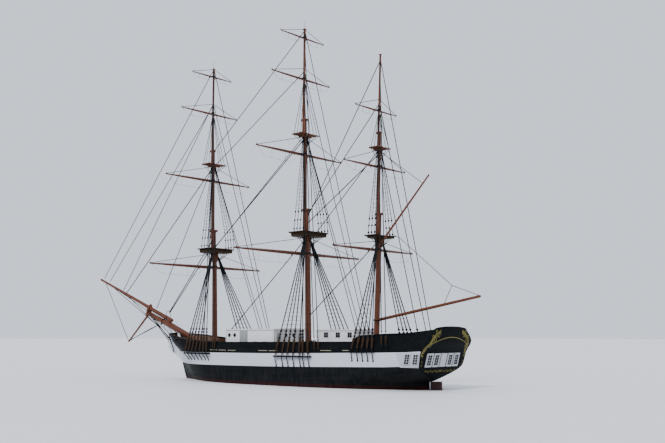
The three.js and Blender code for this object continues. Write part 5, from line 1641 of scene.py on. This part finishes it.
def build_fittings():
    """Hatch gratings, skylight panes, binnacle, fife rails, pin rails, bitts and the poop's ladders."""
    finish("timber", "main_hatch", "fore_hatch", "windlass")
    finish("house", "poop_skylight", "helm_box")
    finish("mast", "helm_wheel")
    wood, pins, panes, binnacle = Form(), [], Form(), Form()
    post = ((0, 0.05), (0.1, 0.05), (0.2, 0.034), (0.34, 0.034), (0.42, 0.048), (0.52, 0.048), (0.56, 0.03))
    for x, half, rise in ((7.95, 0.45, 0.17), (13.25, 0.4, 0.16)):                      # gratings
        z = deck_top(x) + rise
        for k in range(9):
            wood.block((x - 0.28 + 0.07 * k, 0, z + 0.006), (0.024, 2 * half - 0.06, 0.018))
        for k in range(11):
            wood.block((x, (k - 5) * (half - 0.04) / 5, z + 0.012), (0.58, 0.022, 0.016))
        wood.pair((x, half + 0.012, z - 0.06), (0.6, 0.03, 0.04))
    for x0, x1, half in ((6.95, 7.52, 0.34), (13.95, 14.72, 0.42)):                     # fife rails
        z = deck_top((x0 + x1) / 2)
        wood.pair(((x0 + x1) / 2, half, z + 0.46), (x1 - x0 + 0.16, 0.09, 0.055))
        for sign in (1, -1):
            for x in (x0, x1):
                wood.turned((x, sign * half, z + 0.001), (x, sign * half, z + 0.6), post, 12)
            pins += [(Vector((x0 + (x1 - x0) * k / 6, sign * half, z + 0.46)), UP, OUT) for k in range(1, 6)]
        wood.block((x0, 0, z + 0.46), (0.09, 2 * half, 0.05))
        pins += [(Vector((x0, half * (k - 2) / 2.6, z + 0.46)), UP, OUT) for k in range(5)]
    for first, last in ((12.4, 14.5), (5.3, 7.6), (1.7, 3.0)):                          # pin rails
        edge = [(x, height("rail", x) - 0.3) for x in (first + (last - first) * k / 10 for k in range(11))]
        edge = [(x, on_side(x, z).y - WALL, z) for x, z in edge]
        section = ((0.02, -0.02), (0.02, 0.02), (-0.1, 0.02), (-0.1, -0.02))
        for sign in (1, -1):
            wood.rings([[(x, sign * (y + a), z + b) for a, b in section] for x, y, z in edge])
            pins += [(Vector((x, sign * (y - 0.06), z)), UP, OUT) for x, y, z in edge[1:-1]]
    for x, y, deck in ((15.1, 1.05, "main"), (4.4, 1.35, "main"), (-0.1, 1.05, "poop")):    # bitts
        z = deck_top(x, deck)
        for dx in (-0.11, 0.11):
            wood.pair((x + dx, y, z + 0.13), (0.09, 0.09, 0.26))
        wood.pair((x, y, z + 0.14), (0.42, 0.07, 0.05))
    z = deck_top(3.3)                                                                   # ladders to the poop
    for k in range(3):
        wood.pair((3.42 - 0.085 * k, 1.05, z + 0.08 + 0.09 * k), (0.1, 0.42, 0.022))
    for y in (0.83, 1.27):
        wood.pair((3.34, y, z + 0.16), (0.34, 0.03, 0.07), tilt=math.radians(44))
    wood.block((3.235, 0, deck_top(3.2) + 0.29), (0.07, 2.7, 0.05))
    build("deck_woodwork", wood, ["timber"], bevel=0.004)
    pin = lathe(-0.13, 0.13, ((0, 0.007), (0.1, 0.01), (0.15, 0.013), (0.17, 0.011), (0.22, 0.017), (0.26, 0.008)), 8)
    set_out("belaying_pins", pin, pins, "timber")
    z = deck_top(SKYLIGHT_X, "poop") + 0.238
    for x in (SKYLIGHT_X - 0.18, SKYLIGHT_X + 0.18):
        for sign in (1, -1):
            quad = [Vector((x + a * 0.16, sign * 0.15 + b * 0.13, z)) for a, b in ((-1, -1), (1, -1), (1, 1), (-1, 1))]
            window(panes, quad, 3, 1, 0.02, 0.014, 0.016)
    build("skylight_panes", panes, ["frames", "glass"])
    z = deck_top(BINNACLE_X, "poop") + 0.001
    stand = ((0, 0.1), (0.04, 0.1), (0.06, 0.07), (0.3, 0.06), (0.33, 0.09), (0.38, 0.09))
    hood = ((0, 0.085), (0.03, 0.085), (0.07, 0.07), (0.1, 0.04), (0.12, 0.012))
    binnacle.turned(mid(BINNACLE_X, z), mid(BINNACLE_X, z + 0.5), stand, 20, 1)
    binnacle.turned(mid(BINNACLE_X, z + 0.38), mid(BINNACLE_X, z + 0.5), hood, 20)
    build("binnacle", binnacle, ["brass", "timber"], sharp=50)


# Stage

CAMERA_AT = (-23.6105, 33.909, 2.5)
PITCH, HEADING = math.radians(7.13), math.radians(40.943)    # of the camera: upwards, and from -Y to +X
SUN_AIM, SUN_WIDTH = (0.15, -1.0, -0.9), math.radians(12)
SKY_TINT = (0.82, 0.88, 1.0, 1)
FLOOR_REACH = 400


def build_stage(look):
    """Floor, sky, key light and the camera of the photo."""
    far = FLOOR_REACH
    mesh = bpy.data.meshes.new("floor")
    mesh.from_pydata([(-far, -far, 0), (far, -far, 0), (far, far, 0), (-far, far, 0)], [], [(0, 1, 2, 3)])
    mesh.materials.append(material("floor"))
    linked("floor", mesh)
    world = bpy.data.worlds.new("soft sky")
    bpy.context.scene.world = world
    world.use_nodes = True
    world.node_tree.nodes["Background"].inputs[0].default_value = SKY_TINT
    world.node_tree.nodes["Background"].inputs[1].default_value = look.sky
    sun = bpy.data.lights.new("key light", "SUN")
    sun.energy, sun.angle = look.sun, SUN_WIDTH
    linked("key light", sun).rotation_euler = Vector(SUN_AIM).to_track_quat("-Z", "Y").to_euler()
    lens = bpy.data.cameras.new("camera")
    lens.lens, lens.sensor_width = look.lens, 36
    lens.clip_end = 2000
    camera = linked("camera", lens)
    camera.location = CAMERA_AT
    ahead = Vector((math.sin(HEADING) * math.cos(PITCH), -math.cos(HEADING) * math.cos(PITCH), math.sin(PITCH)))
    camera.rotation_euler = ahead.to_track_quat("-Z", "Y").to_euler()
    bpy.context.scene.camera = camera


# Operators

class SHIP_OT_hull(bpy.types.Operator):
    """Build the planked hull, keel, stem and bulwarks"""
    bl_idname = "tall_ship.hull"
    bl_label = "Hull and bulwarks"

    def execute(self, context):
        build_hull()
        finish("stem", "keel_and_stem")     # these two keep their CAD shapes
        finish("maroon", "rudder")
        build_bulwarks()
        return {"FINISHED"}


class SHIP_OT_stern(bpy.types.Operator):
    """Build the stern windows, scroll ornament, quarter windows and freeing ports"""
    bl_idname = "tall_ship.stern"
    bl_label = "Stern and quarters"

    def execute(self, context):
        build_stern()
        return {"FINISHED"}


class SHIP_OT_head(bpy.types.Operator):
    """Build the head and bow rails"""
    bl_idname = "tall_ship.head"
    bl_label = "Head"

    def execute(self, context):
        build_head()
        return {"FINISHED"}


class SHIP_OT_masts(bpy.types.Operator):
    """Build the masts with their tops, crosstrees and bands"""
    bl_idname = "tall_ship.masts"
    bl_label = "Masts and tops"

    def execute(self, context):
        build_masts(settings().spars)
        return {"FINISHED"}


class SHIP_OT_yards(bpy.types.Operator):
    """Build the yards with jackstays and footropes"""
    bl_idname = "tall_ship.yards"
    bl_label = "Yards"

    def execute(self, context):
        build_yards()
        return {"FINISHED"}


class SHIP_OT_spanker(bpy.types.Operator):
    """Build the spanker gaff and boom"""
    bl_idname = "tall_ship.spanker"
    bl_label = "Gaff and boom"

    def execute(self, context):
        build_spanker()
        return {"FINISHED"}


class SHIP_OT_bowsprit(bpy.types.Operator):
    """Build the bowsprit, jibboom and dolphin striker"""
    bl_idname = "tall_ship.bowsprit"
    bl_label = "Bowsprit and jibboom"

    def execute(self, context):
        build_bowsprit()
        return {"FINISHED"}


class SHIP_OT_channels(bpy.types.Operator):
    """Build the channels with bars, deadeyes and chain plates"""
    bl_idname = "tall_ship.channels"
    bl_label = "Channels"

    def execute(self, context):
        build_channels(settings().rig)
        return {"FINISHED"}


class SHIP_OT_shrouds(bpy.types.Operator):
    """Build the shrouds with ratlines and futtocks"""
    bl_idname = "tall_ship.shrouds"
    bl_label = "Shrouds"

    def execute(self, context):
        build_shrouds(settings().rig)
        return {"FINISHED"}


class SHIP_OT_stays(bpy.types.Operator):
    """Build the stays, backstays and head rigging"""
    bl_idname = "tall_ship.stays"
    bl_label = "Stays"

    def execute(self, context):
        build_stays(settings().rig)
        return {"FINISHED"}


class SHIP_OT_lifts(bpy.types.Operator):
    """Build the lifts, halyards and topping lift"""
    bl_idname = "tall_ship.lifts"
    bl_label = "Lifts"

    def execute(self, context):
        build_lifts(settings().rig)
        return {"FINISHED"}


class SHIP_OT_houses(bpy.types.Operator):
    """Build the woodwork of both deckhouses"""
    bl_idname = "tall_ship.houses"
    bl_label = "Deckhouses"

    def execute(self, context):
        build_houses()
        return {"FINISHED"}


class SHIP_OT_fittings(bpy.types.Operator):
    """Build hatches, rails, helm and other deck fittings"""
    bl_idname = "tall_ship.fittings"
    bl_label = "Deck fittings"

    def execute(self, context):
        finish("deck", "main_deck", "poop")
        finish("white", "cutwater_knee")
        build_fittings()
        return {"FINISHED"}


class SHIP_OT_stage(bpy.types.Operator):
    """Build the floor, the light and the camera"""
    bl_idname = "tall_ship.stage"
    bl_label = "Stage"

    def execute(self, context):
        build_stage(settings().stage)
        return {"FINISHED"}


OPERATORS = [
    SHIP_OT_hull, SHIP_OT_stern, SHIP_OT_head, SHIP_OT_masts, SHIP_OT_yards, SHIP_OT_spanker, SHIP_OT_bowsprit,
    SHIP_OT_channels, SHIP_OT_shrouds, SHIP_OT_stays, SHIP_OT_lifts, SHIP_OT_houses, SHIP_OT_fittings, SHIP_OT_stage,
]


class SHIP_PT_build(bpy.types.Panel):
    """Lists what can be built"""
    bl_label = "Tall Ship"
    bl_space_type = "VIEW_3D"
    bl_region_type = "UI"
    bl_category = "Tall Ship"

    def draw(self, context):
        for operator in OPERATORS:
            self.layout.operator(operator.bl_idname)


GROUPS = [HullPaint, SparFinish, RigSizes, DeckFinish, StageLook, TallShip]


def register():
    for item in GROUPS + OPERATORS + [SHIP_PT_build]:
        bpy.utils.register_class(item)
    bpy.types.Scene.tall_ship = bpy.props.PointerProperty(type=TallShip)


def unregister():
    del bpy.types.Scene.tall_ship
    for item in reversed(GROUPS + OPERATORS + [SHIP_PT_build]):
        bpy.utils.unregister_class(item)


def main():
    register()
    for operator in OPERATORS:
        group, name = operator.bl_idname.split(".")
        getattr(getattr(bpy.ops, group), name)()


if __name__ == "__main__":
    main()
